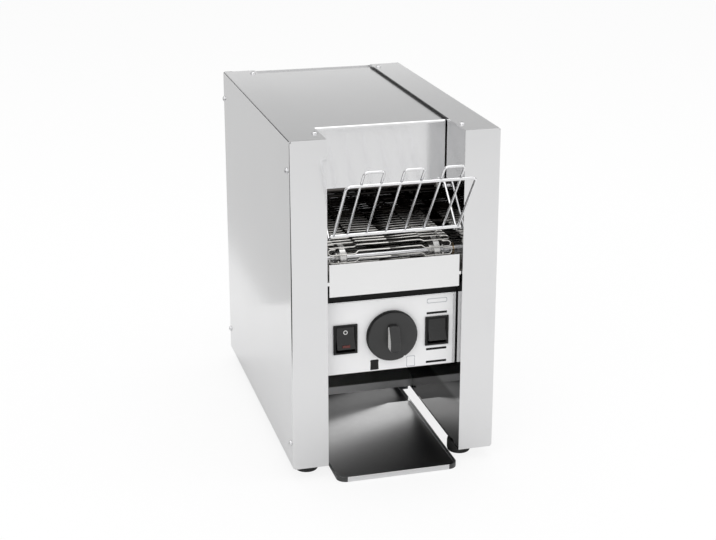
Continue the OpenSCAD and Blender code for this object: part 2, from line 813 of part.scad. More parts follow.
belt_count = 2 * belt_steps + belt_teeth;
belt_turn = 360 / belt_teeth;

// Place of strand k along the loop: straight back, round the drive shaft, forward, round the front
function strand_yz(k) =
    let (i = k % belt_count)
    i < belt_steps ? [front_shaft_y + i * belt_pitch, shaft_z + wheel_r]
    : i < belt_steps + belt_teeth / 2
        ? let (a = 90 - (i - belt_steps) * belt_turn) [drive_y + wheel_r * cos(a), shaft_z + wheel_r * sin(a)]
    : i < 2 * belt_steps + belt_teeth / 2
        ? [drive_y - (i - belt_steps - belt_teeth / 2) * belt_pitch, shaft_z - wheel_r]
    : let (a = 270 - (i - 2 * belt_steps - belt_teeth / 2) * belt_turn)
        [front_shaft_y + wheel_r * cos(a), shaft_z + wheel_r * sin(a)];

// One strand of the belt and the links that hold the next strand
module strand(k) {
    a = strand_yz(k);
    b = strand_yz(k + 1);
    dir = (b - a) / norm(b - a);
    link_x = [belt_w / 2 - 1.2, belt_wheel_x - 13];
    rod_x(belt_wire_d, -belt_w / 2, belt_w / 2, a[0], a[1]);
    reach = belt_pitch - belt_wire_d / 2 - seat_gap;
    for (s = [-1, 1], x = link_x) wire(belt_wire_d - 0.2, at_x(s * x, a), at_x(s * x, a + dir * reach));
}

module conveyor_belt() {
    color("gainsboro") at_front() for (k = [0 : belt_count - 1]) strand(k);
}

// Three flats under the belt's top run, welded on two rods through the inner walls
module belt_support() {
    color("gray") at_front() union() {
        for (x = [-27, 0, 27]) translate([x - 1.5, front_shaft_y + 22, support_top_z - support_h])
            cube([3, drive_y - front_shaft_y - 44, support_h]);
        for (y = support_rod_y) rod_x(support_rod_d, -wall_out - 2, wall_out + 2, y, support_rod_z());
    }
}

// A wheel with a shallow hollow for each strand: its rim runs just inside the belt's wires
module belt_wheel() {
    w = 7;
    rim_r = wheel_r - belt_r - seat_gap;
    difference() {
        union() {
            rod_x(2 * rim_r, -w / 2, w / 2, 0, 0);
            rod_x(shaft_d + 8, -6.5, 6.5, 0, 0);
        }
        for (k = [0 : belt_teeth - 1])
            rod_x(2 * (belt_r + 0.9), -w, w, wheel_r * cos(k * belt_turn), wheel_r * sin(k * belt_turn));
        rod_x(shaft_d + 2 * press_gap, -10, 10, 0, 0);
    }
}

module front_belt_wheels() {
    color("silver") at_front() for (s = [-1, 1])
        translate([s * belt_wheel_x, front_shaft_y, shaft_z]) belt_wheel();
}

module drive_belt_wheels() {
    color("silver") at_front() for (s = [-1, 1])
        translate([s * belt_wheel_x, drive_y, shaft_z]) belt_wheel();
}

module front_shaft() {
    color("silver") at_front()
        rod_x(shaft_d, -wall_out - 9, wall_out + 9, front_shaft_y, shaft_z);
}

module drive_shaft() {
    color("silver") at_front()
        rod_x(shaft_d, -wall_out - 9, chain_x + 7, drive_y, shaft_z);
}

// Flanged bushes in the inner walls
module shaft_bearings() {
    color("peru") at_front() for (s = [-1, 1], y = [front_shaft_y, drive_y]) mirrored(s) difference() {
        union() {
            rod_x(bush_bore_d - 2 * fit_gap, -wall_out - 2, -half_bay, y, shaft_z);
            rod_x(bush_bore_d + 6, -wall_out - 5, -wall_out, y, shaft_z);
        }
        rod_x(shaft_d + 2 * fit_gap, -wall_out - 8, -half_bay + 5, y, shaft_z);
    }
}

// Rings on a shaft, just outside its bearings
module shaft_rings(y) {
    for (s = [-1, 1]) mirrored(s) difference() {
        rod_x(shaft_d + 5, -wall_out - 6.6, -wall_out - 5.3, y, shaft_z);
        rod_x(shaft_d + 2 * press_gap, -wall_out - 8, -wall_out - 4, y, shaft_z);
    }
}

module front_shaft_rings() {
    color("gray") at_front() shaft_rings(front_shaft_y);
}

module drive_shaft_rings() {
    color("gray") at_front() shaft_rings(drive_y);
}

// ---- Drive ----

// A chain wheel with a shallow hollow for each roller: its rim runs just inside the rollers
module chain_wheel(hub_r) {
    difference() {
        union() {
            rod_x(2 * (chain_wheel_r - chain_roller_d / 2 - seat_gap), -1.3, 1.3, 0, 0);
            rod_x(2 * hub_r, -5, 5, 0, 0);
        }
        for (k = [0 : chain_teeth - 1])
            rod_x(chain_roller_d + 1.8, -2, 2, chain_wheel_r * cos(k * 360 / chain_teeth),
                chain_wheel_r * sin(k * 360 / chain_teeth));
    }
}

module drive_chain_wheel() {
    color("gray") at_front() difference() {
        translate([chain_x, drive_y, shaft_z]) chain_wheel(shaft_d / 2 + 3);
        rod_x(shaft_d + 2 * press_gap, chain_x - 8, chain_x + 8, drive_y, shaft_z);
    }
}

// The small wheel is one piece with the motor's output shaft
module motor_chain_wheel() {
    color("gray") at_front() union() {
        translate([chain_x, motor_y, motor_z]) chain_wheel(6.5);
        rod_x(motor_shaft_d, chain_x - 11, chain_x + 6, motor_y, motor_z);
    }
}

chain_count = 2 * chain_steps + chain_teeth;

// Place of chain pin k: up the front strand, over the drive wheel, down, and under the motor wheel
function pin_yz(k) =
    let (i = k % chain_count, r = chain_wheel_r, turn = 360 / chain_teeth)
    i < chain_steps ? [drive_y - r, motor_z + i * chain_pitch]
    : i < chain_steps + chain_teeth / 2
        ? let (a = 180 - (i - chain_steps) * turn) [drive_y + r * cos(a), shaft_z + r * sin(a)]
    : i < 2 * chain_steps + chain_teeth / 2
        ? [drive_y + r, shaft_z - (i - chain_steps - chain_teeth / 2) * chain_pitch]
    : let (a = -(i - 2 * chain_steps - chain_teeth / 2) * turn)
        [drive_y + r * cos(a), motor_z + r * sin(a)];

module chain_plate(a, b, x) {
    turn = atan2(b[1] - a[1], b[0] - a[0]);
    translate([x - 0.35, a[0], a[1]]) rotate([turn, 0, 0]) {
        rotate([0, 90, 0]) cylinder(d = 4.4, h = 0.7);
        translate([0, 0, -1.7]) cube([0.7, chain_pitch, 3.4]);
        translate([0, chain_pitch, 0]) rotate([0, 90, 0]) cylinder(d = 4.4, h = 0.7);
    }
}

module drive_chain() {
    color("dimgray") at_front() for (k = [0 : chain_count - 1]) {
        a = pin_yz(k);
        b = pin_yz(k + 1);
        outer = k % 2 == 0;
        if (outer) {
            for (s = [-1, 1]) chain_plate(a, b, chain_x + s * 3.3);
            for (p = [a, b]) rod_x(1.9, chain_x - 4, chain_x + 4, p[0], p[1]);
        }
        else difference() {
            union() {
                for (s = [-1, 1]) chain_plate(a, b, chain_x + s * 2.3);
                for (p = [a, b]) rod_x(chain_roller_d, chain_x - 2, chain_x + 2, p[0], p[1]);
            }
            for (p = [a, b]) rod_x(2.1, chain_x - 4, chain_x + 4, p[0], p[1]);
        }
    }
}

// Round geared motor: its axis lies forward of its output shaft
module gear_motor() {
    x0 = wall_out + 2.2;
    color("slategray") at_front() difference() {
        union() {
            rod_x(motor_d, x0, x0 + 11, motor_y - 16, motor_z);
            rod_x(motor_d - 6, x0 + 11, x0 + 14, motor_y - 16, motor_z);
            rod_x(14, x0 + 11, x0 + 15, motor_y, motor_z);
        }
        rod_x(motor_shaft_d + 2 * fit_gap, x0 + 5, x0 + 20, motor_y, motor_z);
    }
}

module motor_bracket() {
    x0 = wall_out;
    color("gray") at_front() translate([x0, motor_y - 16 - 34, motor_z - 34]) cube([2, 68, 68]);
}

// ---- Heating ----

module upper_elements() {
    color("dimgray") at_front() for (y = upper_tube_y)
        rod_x(tube_d, -wall_out - 18, wall_out + 18, y, upper_tube_z);
}

module lower_elements() {
    color("dimgray") at_front() for (y = lower_tube_y)
        rod_x(tube_d, -wall_out - 18, wall_out + 18, y, shaft_z);
}

module element_bush(y, z) {
    difference() {
        union() {
            rod_x(bush_bore_d - 2 * fit_gap, -wall_out - 2, -half_bay + 1.5, y, z);
            rod_x(bush_bore_d + 4, -wall_out - 5, -wall_out, y, z);
        }
        rod_x(tube_d + 2 * fit_gap, -wall_out - 8, -half_bay + 5, y, z);
    }
}

module element_bushes() {
    color("ivory") at_front() for (s = [-1, 1]) mirrored(s) {
        for (y = upper_tube_y) element_bush(y, upper_tube_z);
        for (y = lower_tube_y) element_bush(y, shaft_z);
    }
}

// Strips that join the ends of the heating tubes in each side compartment
module bus_bars() {
    x0 = wall_out + 18;
    color("goldenrod") at_front() for (s = [-1, 1]) mirrored(s) {
        translate([-x0 - 1, upper_tube_y[0] - 5, upper_tube_z - 4])
            cube([1, upper_tube_y[4] - upper_tube_y[0] + 10, 8]);
        translate([-x0 - 1, lower_tube_y[0] - 5, shaft_z - 4])
            cube([1, lower_tube_y[3] - lower_tube_y[0] + 10, 8]);
    }
}

// Wires that keep bread off the upper tubes
module upper_guard() {
    z = upper_tube_z - tube_d / 2 - 4;
    y0 = upper_tube_y[0] - 12;
    y1 = upper_tube_y[4] + 12;
    color("gray") at_front() union() {
        for (k = [-2 : 2]) rod_y(2.4, y0, y1, k * (half_bay - 24.5) / 2, z);
        for (y = [y0 + 6, y1 - 6]) rod_x(3, -half_bay + seat_gap, half_bay - seat_gap, y, z + 2);
    }
}

// Sheet over the upper tubes, hung between the inner walls
module upper_reflector() {
    w = bay_w - 2 * seat_gap;
    y0 = apron_y + 14;
    color("silver") at_front() union() {
        translate([-w / 2, y0, apron_z + 8]) cube([w, chute_y - y0 - 2, sheet_t]);
        for (s = [-1, 1]) mirrored(s) translate([-w / 2, y0, apron_z + 8])
            cube([sheet_t, chute_y - y0 - 2, 10]);
    }
}

module insulation() {
    w = bay_w - 5;
    y0 = apron_y + 14;
    color("khaki") at_front()
        translate([-w / 2, y0, apron_z + 8 + sheet_t]) cube([w, chute_y - y0 - 2, 26]);
}

// ---- Chute and toast tray ----

// Upright behind the belt, a wide bend, a low slope forward, and a lip folded down
module chute() {
    w = bay_w - 2 * seat_gap;
    cy = chute_y - chute_r;
    tangent_y = cy + chute_r * sin(chute_slope);
    tangent_z = chute_cz - chute_r * cos(chute_slope);
    slope_len = (tangent_y - lip_y) / cos(chute_slope);
    color([0.1, 0.1, 0.1]) at_front() along_x(-w / 2, w / 2) {
        translate([chute_y, chute_cz]) square([sheet_t, chute_top_z - chute_cz]);
        translate([cy, chute_cz]) intersection() {
            difference() {
                circle(r = chute_r + sheet_t, $fn = 180);
                circle(r = chute_r, $fn = 180);
            }
            polygon([[0, 0], [2 * chute_r * sin(chute_slope), -2 * chute_r * cos(chute_slope)],
                [2 * chute_r, -2 * chute_r], [2 * chute_r, 0]]);
        }
        translate([tangent_y, tangent_z]) rotate(180 + chute_slope) translate([-0.5, 0])
            square([slope_len + 0.5, sheet_t]);
        translate([lip_y, lip_z - lip_h]) square([sheet_t, lip_h - 0.3]);
    }
}

// Flat pan with a low rim at the sides and back and rounded front corners
module toast_tray() {
    t = tray_t;
    r = tray_corner_r;
    y0 = -tray_reach;
    color([0.07, 0.07, 0.07]) at_front() translate([0, 0, tray_z]) difference() {
        union() {
            linear_extrude(t) tray_outline(tray_w, y0, r);
            linear_extrude(tray_h) difference() {
                tray_outline(tray_w, y0, r);
                translate([0, t]) tray_outline(tray_w - 2 * t, y0, r - t);
                translate([-tray_w / 2, y0 + tray_len - t]) square([tray_w, 2 * t]);
            }
            translate([-tray_w / 2, y0 + tray_len - t, 0]) cube([tray_w, t, tray_h]);
        }
        // Room for the bright lip
        translate([-tray_w / 2 + r, y0 - 1, -1]) cube([tray_w - 2 * r, 1 + t, tray_h + 2]);
    }
}

module tray_outline(w, y0, r) {
    translate([-w / 2, y0 + r]) square([w, tray_len - r]);
    translate([-w / 2 + r, y0]) square([w - 2 * r, r]);
    for (s = [-1, 1]) translate([s * (w / 2 - r), y0 + r]) circle(r);
}

module tray_lip() {
    r = tray_corner_r;
    color("white") at_front()
        translate([-tray_w / 2 + r, -tray_reach, tray_z]) cube([tray_w - 2 * r, tray_t, tray_h]);
}

// Angles under the inner walls that hold the tray's rims down at the back
module tray_guides() {
    y0 = lip_y + 20;
    len = tray_len - tray_reach - y0 + 5;
    rim_z = tray_z + tray_h;
    color("gray") at_front() for (s = [-1, 1]) mirrored(s) {
        translate([-half_bay, y0, rim_z + seat_gap]) cube([sheet_t, len, 10 - rim_z]);
        translate([-half_bay, y0, rim_z + seat_gap]) cube([half_bay - tray_w / 2 + 5, len, sheet_t]);
    }
}

// ---- Cooling and wiring ----

module fan_frame() {
    y0 = body_d - casing_t - fan_t;
    color([0.1, 0.1, 0.1]) at_front() union() {
        difference() {
            translate([-fan_size / 2, y0, fan_z - fan_size / 2]) cube([fan_size, fan_t, fan_size]);
            rod_y(fan_bore_d, y0 - 1, y0 + fan_t + 1, 0, fan_z);
            for (sx = [-1, 1], sz = [-1, 1])
                rod_y(4.4, y0 - 1, y0 + fan_t + 1, sx * 35.75, fan_z + sz * 35.75);
        }
        rod_y(34, y0 + 0.4, y0 + 3, 0, fan_z);
        for (a = [45, 135, 225, 315]) translate([0, y0, fan_z]) rotate([0, a, 0])
            translate([15, 0.8, -1.5]) cube([fan_bore_d / 2 - 14, 1.8, 3]);
        rod_y(4, y0 + 1, y0 + 9, 0, fan_z);
    }
}

module fan_rotor() {
    y0 = body_d - casing_t - fan_t + 3.5;
    color([0.2, 0.2, 0.2]) at_front() translate([0, y0, fan_z]) difference() {
        union() {
            rod_y(34, 0, 18, 0, 0);
            for (k = [0 : 6]) rotate([0, k * 360 / 7, 0]) translate([15, 9, 0]) rotate([40, 0, 0])
                translate([0, -9, -0.6]) cube([21.5, 18, 1.2]);
        }
        rod_y(4 + 2 * fit_gap, -1, 8, 0, 0);
        // Blades stay inside the frame's depth
        rod_y(120, -12, 0, 0, 0);
        rod_y(120, 20, 40, 0, 0);
    }
}

// Cable gland for a supply cord, threaded through the back panel
module cord_gland() {
    color([0.1, 0.1, 0.1]) at_front() difference() {
        union() {
            rod_y(12, body_d - casing_t - 9, body_d + 2, gland_x, gland_z);
            translate([gland_x, body_d, gland_z]) rotate([-90, 0, 0]) cylinder(d = 19, h = 5, $fn = 6);
            translate([gland_x, body_d + 5, gland_z]) rotate([-90, 0, 0])
                cylinder(d1 = 16, d2 = 12, h = gland_reach - 5);
            translate([gland_x, body_d - casing_t, gland_z]) rotate([90, 0, 0])
                cylinder(d = 18, h = 4, $fn = 6);
        }
        rod_y(7.6, body_d - 30, body_d + 30, gland_x, gland_z);
    }
}

module terminal_block() {
    x0 = -wall_out - 20;
    y0 = body_d - 90;
    z0 = 40;
    color("ivory") at_front() difference() {
        translate([x0, y0, z0]) cube([20, 40, 16]);
        for (k = [0 : 3]) translate([x0 + 6, y0 + 6 + k * 9.3, z0 + 8]) cylinder(d = 5, h = 10);
    }
}

module limit_thermostat() {
    color("silver") at_front() mirrored(-1) {
        rod_x(16, -wall_out - 8, -wall_out, drive_y - 40, apron_z + 24);
        rod_x(10, -wall_out - 14, -wall_out - 8, drive_y - 40, apron_z + 24);
    }
}

left_casing();
right_casing();
left_inner_wall();
right_inner_wall();
hood();
hood_screws();
back_panel();
corner_posts();
base_plate();
feet();
foot_bolts();
casing_screws();
control_box();
control_panel();
panel_label();
panel_screws();
box_back_cover();
power_switch_housing();
power_rocker();
power_lens();
bread_switch_housing();
bread_rocker();
speed_knob();
knob_pointer();
regulator_shaft();
speed_regulator();
crumb_tray();
crumb_tray_rails();
feed_rack();
rack_studs();
conveyor_belt();
belt_support();
front_shaft();
front_belt_wheels();
drive_shaft();
drive_belt_wheels();
shaft_bearings();
front_shaft_rings();
drive_shaft_rings();
drive_chain_wheel();
motor_chain_wheel();
drive_chain();
gear_motor();
motor_bracket();
upper_elements();
lower_elements();
element_bushes();
bus_bars();
upper_guard();
upper_reflector();
insulation();
chute();
toast_tray();
tray_lip();
tray_guides();
fan_frame();
fan_rotor();
cord_gland();
terminal_block();
limit_thermostat();
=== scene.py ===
# %% [markdown]
# # A conveyor toaster, finished for a studio picture
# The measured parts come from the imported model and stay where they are. This notebook gives them
# their finishes, and makes again, in finer detail, the pieces whose shape the model only blocks out:
# the wire belt, the bent wire rack, the screws, the knob and the printed marks.
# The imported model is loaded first, because every later piece takes its place from it.

# %% Load the measured parts
import json
import math
import bpy
import bmesh
from mathutils import Matrix, Vector


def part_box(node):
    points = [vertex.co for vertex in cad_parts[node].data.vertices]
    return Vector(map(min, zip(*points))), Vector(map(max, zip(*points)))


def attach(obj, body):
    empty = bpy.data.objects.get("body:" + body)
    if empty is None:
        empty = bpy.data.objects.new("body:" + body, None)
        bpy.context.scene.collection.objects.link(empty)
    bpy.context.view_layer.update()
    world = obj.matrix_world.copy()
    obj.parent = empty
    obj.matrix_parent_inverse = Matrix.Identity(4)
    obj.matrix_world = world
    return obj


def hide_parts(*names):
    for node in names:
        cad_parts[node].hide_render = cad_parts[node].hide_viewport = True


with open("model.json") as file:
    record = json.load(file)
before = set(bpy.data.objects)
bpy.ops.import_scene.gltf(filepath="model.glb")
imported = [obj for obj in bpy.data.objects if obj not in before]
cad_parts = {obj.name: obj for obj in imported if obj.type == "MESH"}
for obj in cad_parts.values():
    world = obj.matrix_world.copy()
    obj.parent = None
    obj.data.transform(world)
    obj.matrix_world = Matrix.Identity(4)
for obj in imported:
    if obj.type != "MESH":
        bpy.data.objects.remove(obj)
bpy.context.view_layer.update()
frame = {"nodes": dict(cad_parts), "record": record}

# %% [markdown]
# ## Where things are
# A toaster like this is measured from its casing: across from the middle, back from the front face,
# and up from the underside. The helper turns such a place, in millimetres, into the scene's metres.
# Reading the casing's own box keeps every new piece in step with the measured parts.

# %% A place on the casing
MM = 0.001
casing_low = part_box("left_casing")[0]
FRONT = casing_low.y
UNDERSIDE = casing_low.z


def place(x, y, z):
    """A point given in millimetres from the casing's middle, front face and underside."""
    return Vector((x * MM, FRONT + y * MM, UNDERSIDE + z * MM))


print("front face at y =", round(FRONT, 4), "m, underside at z =", round(UNDERSIDE, 4), "m")

# %% [markdown]
# ## The camera
# The picture is taken from the front left, a little above the top. A fairly long lens keeps the upright
# edges of the casing nearly parallel. The camera comes first, so that each later step can be judged
# through it. Its turn is built from the direction it looks in, which is easier to read than three angles.

# %% Camera
camera_data = bpy.data.cameras.new("studio_camera")
camera = bpy.data.objects.new("studio_camera", camera_data)
bpy.context.scene.collection.objects.link(camera)
bpy.context.scene.camera = camera
camera_data.sensor_width = 36
camera_data.lens = 73.85
camera_data.shift_y = -0.05
turn_right = math.radians(15.25)
look_down = math.radians(17.69)
CAMERA_AT = place(-447.3, -1480.0, 765.2)
looking = Vector((math.sin(turn_right) * math.cos(look_down),
                  math.cos(turn_right) * math.cos(look_down), -math.sin(look_down)))
right = Vector((math.cos(turn_right), -math.sin(turn_right), 0))
up = right.cross(looking)
turned = Matrix((right, up, -looking)).transposed().to_4x4()
camera.matrix_world = Matrix.Translation(CAMERA_AT) @ turned
camera_data.clip_start = 0.05
camera_data.clip_end = 50
print("camera at", [round(v, 3) for v in camera.location])

# %% [markdown]
# ## Helpers for finishes
# A real surface is never one even colour: sheet steel has faint rolling marks and plastic has grain,
# and here the parts deep in the tunnel are also painted darker as shade. Each finish below is a small
# node tree, so these helpers shorten the steps that all of them share: a noise that can be stretched,
# a value spread between two limits, a colour spread between two colours, and a bump.

# %% Helpers for node materials
FINISHES = {}


def new_finish(slot):
    """A material named after the record's slot, with its shader and a source of coordinates."""
    material = bpy.data.materials.new(slot)
    material.use_nodes = True
    tree = material.node_tree
    shader = tree.nodes["Principled BSDF"]
    coordinates = tree.nodes.new("ShaderNodeTexCoord")
    FINISHES[slot] = material
    return tree, shader, coordinates.outputs["Object"]


def grain(tree, where, scale, stretch=(1, 1, 1), detail=4.0, roughness=0.5):
    """Noise in object space; stretch squeezes it along an axis to give streaks."""
    mapping = tree.nodes.new("ShaderNodeMapping")
    mapping.inputs["Scale"].default_value = stretch
    noise = tree.nodes.new("ShaderNodeTexNoise")
    noise.inputs["Scale"].default_value = scale
    noise.inputs["Detail"].default_value = detail
    noise.inputs["Roughness"].default_value = roughness
    tree.links.new(where, mapping.inputs["Vector"])
    tree.links.new(mapping.outputs["Vector"], noise.inputs["Vector"])
    return noise.outputs["Fac"]


def spread(tree, value, low, high, start=0.3, end=0.7):
    """Maps a noise value to a range of numbers."""
    remap = tree.nodes.new("ShaderNodeMapRange")
    remap.inputs["From Min"].default_value = start
    remap.inputs["From Max"].default_value = end
    remap.inputs["To Min"].default_value = low
    remap.inputs["To Max"].default_value = high
    tree.links.new(value, remap.inputs["Value"])
    return remap.outputs["Result"]


def tint(tree, value, dark, light, start=0.3, end=0.7):
    """Maps a noise value to a colour between two colours."""
    ramp = tree.nodes.new("ShaderNodeValToRGB")
    ramp.color_ramp.elements[0].position = start
    ramp.color_ramp.elements[1].position = end
    ramp.color_ramp.elements[0].color = (*dark, 1)
    ramp.color_ramp.elements[1].color = (*light, 1)
    tree.links.new(value, ramp.inputs["Fac"])
    return ramp.outputs["Color"]


def bump(tree, shader, height, strength, distance):
    """Lets a height value ruffle the surface."""
    node = tree.nodes.new("ShaderNodeBump")
    node.inputs["Strength"].default_value = strength
    node.inputs["Distance"].default_value = distance
    tree.links.new(height, node.inputs["Height"])
    tree.links.new(node.outputs["Normal"], shader.inputs["Normal"])


def metal(slot, dark, light, rough, streaks, streak_scale, wave=0.0):
    """A metal whose colour and gloss drift a little, with fine streaks and slow waves."""
    tree, shader, where = new_finish(slot)
    shader.inputs["Metallic"].default_value = 1.0
    drift = grain(tree, where, 9.0, detail=3.0)
    lines = grain(tree, where, streak_scale, stretch=streaks, detail=6.0, roughness=0.6)
    tree.links.new(tint(tree, drift, dark, light), shader.inputs["Base Color"])
    tree.links.new(spread(tree, lines, rough[0], rough[1]), shader.inputs["Roughness"])
    if wave:
        slow = grain(tree, where, 5.0, detail=1.0)
        bump(tree, shader, slow, wave, 0.002)
    return tree, shader, where


print("helpers ready")

# %% [markdown]
# ## Steel finishes
# The casings, hood, panel and crumb tray are bright annealed stainless sheet: almost a mirror, a
# little milky, with very faint rolling marks up the sheet. The inner walls are the same sheet, but
# glossier; their darker colour, and their fade to near black towards the back of the tunnel and low
# down in the bay, are painted shade. Turned shafts, plated wire and zinc-plated brackets are duller
# or darker. One helper makes them all, because only the numbers differ.

# %% Steel finishes
metal("stainless_bright", (0.695, 0.695, 0.700), (0.715, 0.715, 0.720), (0.13, 0.18), (90, 90, 3), 8.0, 0.06)
metal("stainless_satin", (0.765, 0.765, 0.765), (0.790, 0.790, 0.790), (0.20, 0.27), (3, 90, 90), 8.0)
# The inner walls' colour is darker than the outer sheet's although they are the same sheet: painted shade.
inner_tree, inner_shader, inner_where = metal(
    "stainless_inner", (0.510, 0.510, 0.515), (0.550, 0.550, 0.555), (0.035, 0.06), (90, 90, 3), 8.0, 0.03)
# Painted shade: this near-black steel stands for the darkness on the parts high inside the tunnel.
metal("sooted_steel", (0.020, 0.019, 0.018), (0.040, 0.038, 0.036), (0.40, 0.55), (1, 1, 1), 90.0)
metal("chute_steel", (0.740, 0.740, 0.745), (0.780, 0.780, 0.785), (0.30, 0.40), (3, 60, 60), 8.0, 0.08)
metal("zinc_steel", (0.470, 0.480, 0.500), (0.560, 0.570, 0.590), (0.30, 0.42), (1, 1, 1), 60.0)
metal("screw_steel", (0.620, 0.620, 0.630), (0.700, 0.700, 0.710), (0.16, 0.24), (1, 1, 1), 200.0)
metal("shaft_steel", (0.560, 0.560, 0.570), (0.640, 0.640, 0.650), (0.14, 0.24), (400, 4, 4), 5.0)
metal("wheel_steel", (0.520, 0.515, 0.505), (0.600, 0.595, 0.585), (0.22, 0.34), (1, 1, 1), 300.0)
metal("wire_chrome", (0.760, 0.760, 0.770), (0.800, 0.800, 0.810), (0.08, 0.13), (1, 1, 1), 120.0)
belt_nodes, belt_shader, belt_where = metal(
    "belt_wire", (0.560, 0.545, 0.520), (0.660, 0.650, 0.630), (0.16, 0.26), (1, 1, 1), 90.0)
metal("element_sheath", (0.130, 0.120, 0.115), (0.200, 0.185, 0.175), (0.38, 0.50), (30, 1, 1), 20.0)
metal("lip_steel", (0.740, 0.740, 0.745), (0.760, 0.760, 0.765), (0.20, 0.23), (3, 60, 60), 10.0)
metal("bronze", (0.520, 0.360, 0.170), (0.640, 0.460, 0.240), (0.28, 0.40), (1, 1, 1), 150.0)


def paint_shade(tree, shader, where, start_y, full_y, low_z, high_z, depth=1.0):
    """Painted shade: darkens a metal's colour towards the back of the tunnel, between two heights given in
    millimetres.
    """
    split = tree.nodes.new("ShaderNodeSeparateXYZ")
    tree.links.new(where, split.inputs["Vector"])
    masks = [(split.outputs["Y"], place(0, start_y, 0).y, place(0, full_y, 0).y),
             (split.outputs["Z"], place(0, 0, low_z - 12).z, place(0, 0, low_z + 6).z),
             (split.outputs["Z"], place(0, 0, high_z + 3).z, place(0, 0, high_z - 3).z)]
    product = None
    for value, start, end in masks:
        mask = spread(tree, value, 0.0, 1.0 if product else depth, start, end)
        if product is None:
            product = mask
        else:
            times = tree.nodes.new("ShaderNodeMath")
            times.operation = "MULTIPLY"
            tree.links.new(product, times.inputs[0])
            tree.links.new(mask, times.inputs[1])
            product = times.outputs[0]
    shade_mix = tree.nodes.new("ShaderNodeMix")
    shade_mix.data_type = "RGBA"
    # Near-black colour of the painted shade.
    shade_mix.inputs["B"].default_value = (0.035, 0.030, 0.026, 1)
    unshaded = shader.inputs["Base Color"].links[0].from_socket
    tree.links.new(product, shade_mix.inputs["Factor"])
    tree.links.new(unshaded, shade_mix.inputs["A"])
    tree.links.new(shade_mix.outputs["Result"], shader.inputs["Base Color"])


# Painted shade: the inner walls fade to near black high up towards the back of the tunnel.
paint_shade(inner_tree, inner_shader, inner_where, 55, 95, 250, 310)
# Painted shade: the inner walls are darkened low down along their whole depth, which dims the tray's
# reflection in them.
paint_shade(inner_tree, inner_shader, inner_where, -20, 0, -40, 60, 0.6)
# Painted shade: the belt wire fades to near black towards the back of the tunnel.
paint_shade(belt_nodes, belt_shader, belt_where, 75, 135, 0, 400)
print("steel finishes:", len(FINISHES))

# %% [markdown]
# ## Paint, plastic, rubber and ceramic
# The rest are dull or glossy coats. The tray's enamel is black and smooth with a slight ripple, the
# knob and rockers are moulded with a fine grain, and the label is printed film with a satin skin.
# Each has its own scale of grain, since that scale is what tells the eye one plastic from another.

# %% Coats and plastics


def coat(slot, dark, light, rough, grain_scale, depth, specular=0.5):
    """A paint, plastic, rubber or ceramic with grain of one scale."""
    tree, shader, where = new_finish(slot)
    shader.inputs["Specular IOR Level"].default_value = specular
    drift = grain(tree, where, 14.0, detail=2.0)
    fine = grain(tree, where, grain_scale, detail=3.0)
    tree.links.new(tint(tree, drift, dark, light), shader.inputs["Base Color"])
    tree.links.new(spread(tree, fine, rough[0], rough[1]), shader.inputs["Roughness"])
    bump(tree, shader, fine, 0.25, depth)
    return shader


coat("label_white", (0.870, 0.870, 0.875), (0.890, 0.890, 0.895), (0.32, 0.40), 900.0, 0.00002)
coat("black_painted", (0.004, 0.004, 0.004), (0.007, 0.007, 0.007), (0.40, 0.50), 500.0, 0.00004, 0.15)
coat("black_plastic", (0.009, 0.009, 0.009), (0.013, 0.013, 0.013), (0.34, 0.44), 1500.0, 0.00003, 0.2)
coat("rocker_black", (0.030, 0.030, 0.030), (0.036, 0.036, 0.036), (0.30, 0.38), 1500.0, 0.00002, 0.2)
coat("knob_black", (0.022, 0.022, 0.022), (0.028, 0.028, 0.028), (0.28, 0.34), 1800.0, 0.00002, 0.45)
coat("pointer_white", (0.780, 0.780, 0.770), (0.820, 0.820, 0.810), (0.35, 0.45), 1200.0, 0.00002)
coat("foot_rubber", (0.012, 0.012, 0.012), (0.020, 0.020, 0.020), (0.55, 0.70), 700.0, 0.00006)
coat("motor_grey", (0.150, 0.165, 0.175), (0.190, 0.205, 0.215), (0.40, 0.50), 400.0, 0.00005)
coat("ceramic", (0.680, 0.660, 0.600), (0.760, 0.745, 0.700), (0.35, 0.50), 300.0, 0.00005)
coat("insulation_wool", (0.420, 0.360, 0.220), (0.560, 0.500, 0.340), (0.85, 0.95), 250.0, 0.00060, 0.2)
coat("tray_black", (0.006, 0.006, 0.006), (0.010, 0.010, 0.010), (0.29, 0.33), 120.0, 0.00001, 1.0)
lens_shader = coat(
    "lens_red", (0.110, 0.016, 0.012), (0.150, 0.024, 0.018), (0.12, 0.18), 400.0, 0.00002)
lens_shader.inputs["Transmission Weight"].default_value = 0.15
print("finishes in all:", len(FINISHES))

# %% [markdown]
# ## Give every part its finish
# The record says which slot each part belongs to. Going through that list, rather than naming parts
# here, means no part is left with a plain grey.

# %% Put the finishes on
for entry in frame["record"]["subparts"]:
    part = frame["nodes"][entry["node"]]
    part.data.materials.clear()
    part.data.materials.append(FINISHES[entry["material_slot"]])
BODY_OF = {node: body for body, nodes in frame["record"]["behaviour"]["bodies"].items() for node in nodes}

# %% [markdown]
# ## Sheet edges and moulded corners
# Cut sheet and moulded parts always have a small round on their edges, and that thin bright line is
# much of what makes them look real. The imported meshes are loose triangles, so each piece that shows
# is copied, its corners merged, its flat areas joined, and its sharp edges beveled. The copy then
# stands for the measured part.

# %% Soften the edges of what shows


def finish_piece(piece, node_or_nodes, body):
    """Declares what a new piece rides on and what it stands for."""
    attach(piece, body)
    if node_or_nodes:
        names = [node_or_nodes] if isinstance(node_or_nodes, str) else node_or_nodes
        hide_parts(*names)
    return piece


def add_object(name, data):
    """A new object in the scene, at the origin."""
    piece = bpy.data.objects.new(name, data)
    bpy.context.scene.collection.objects.link(piece)
    return piece


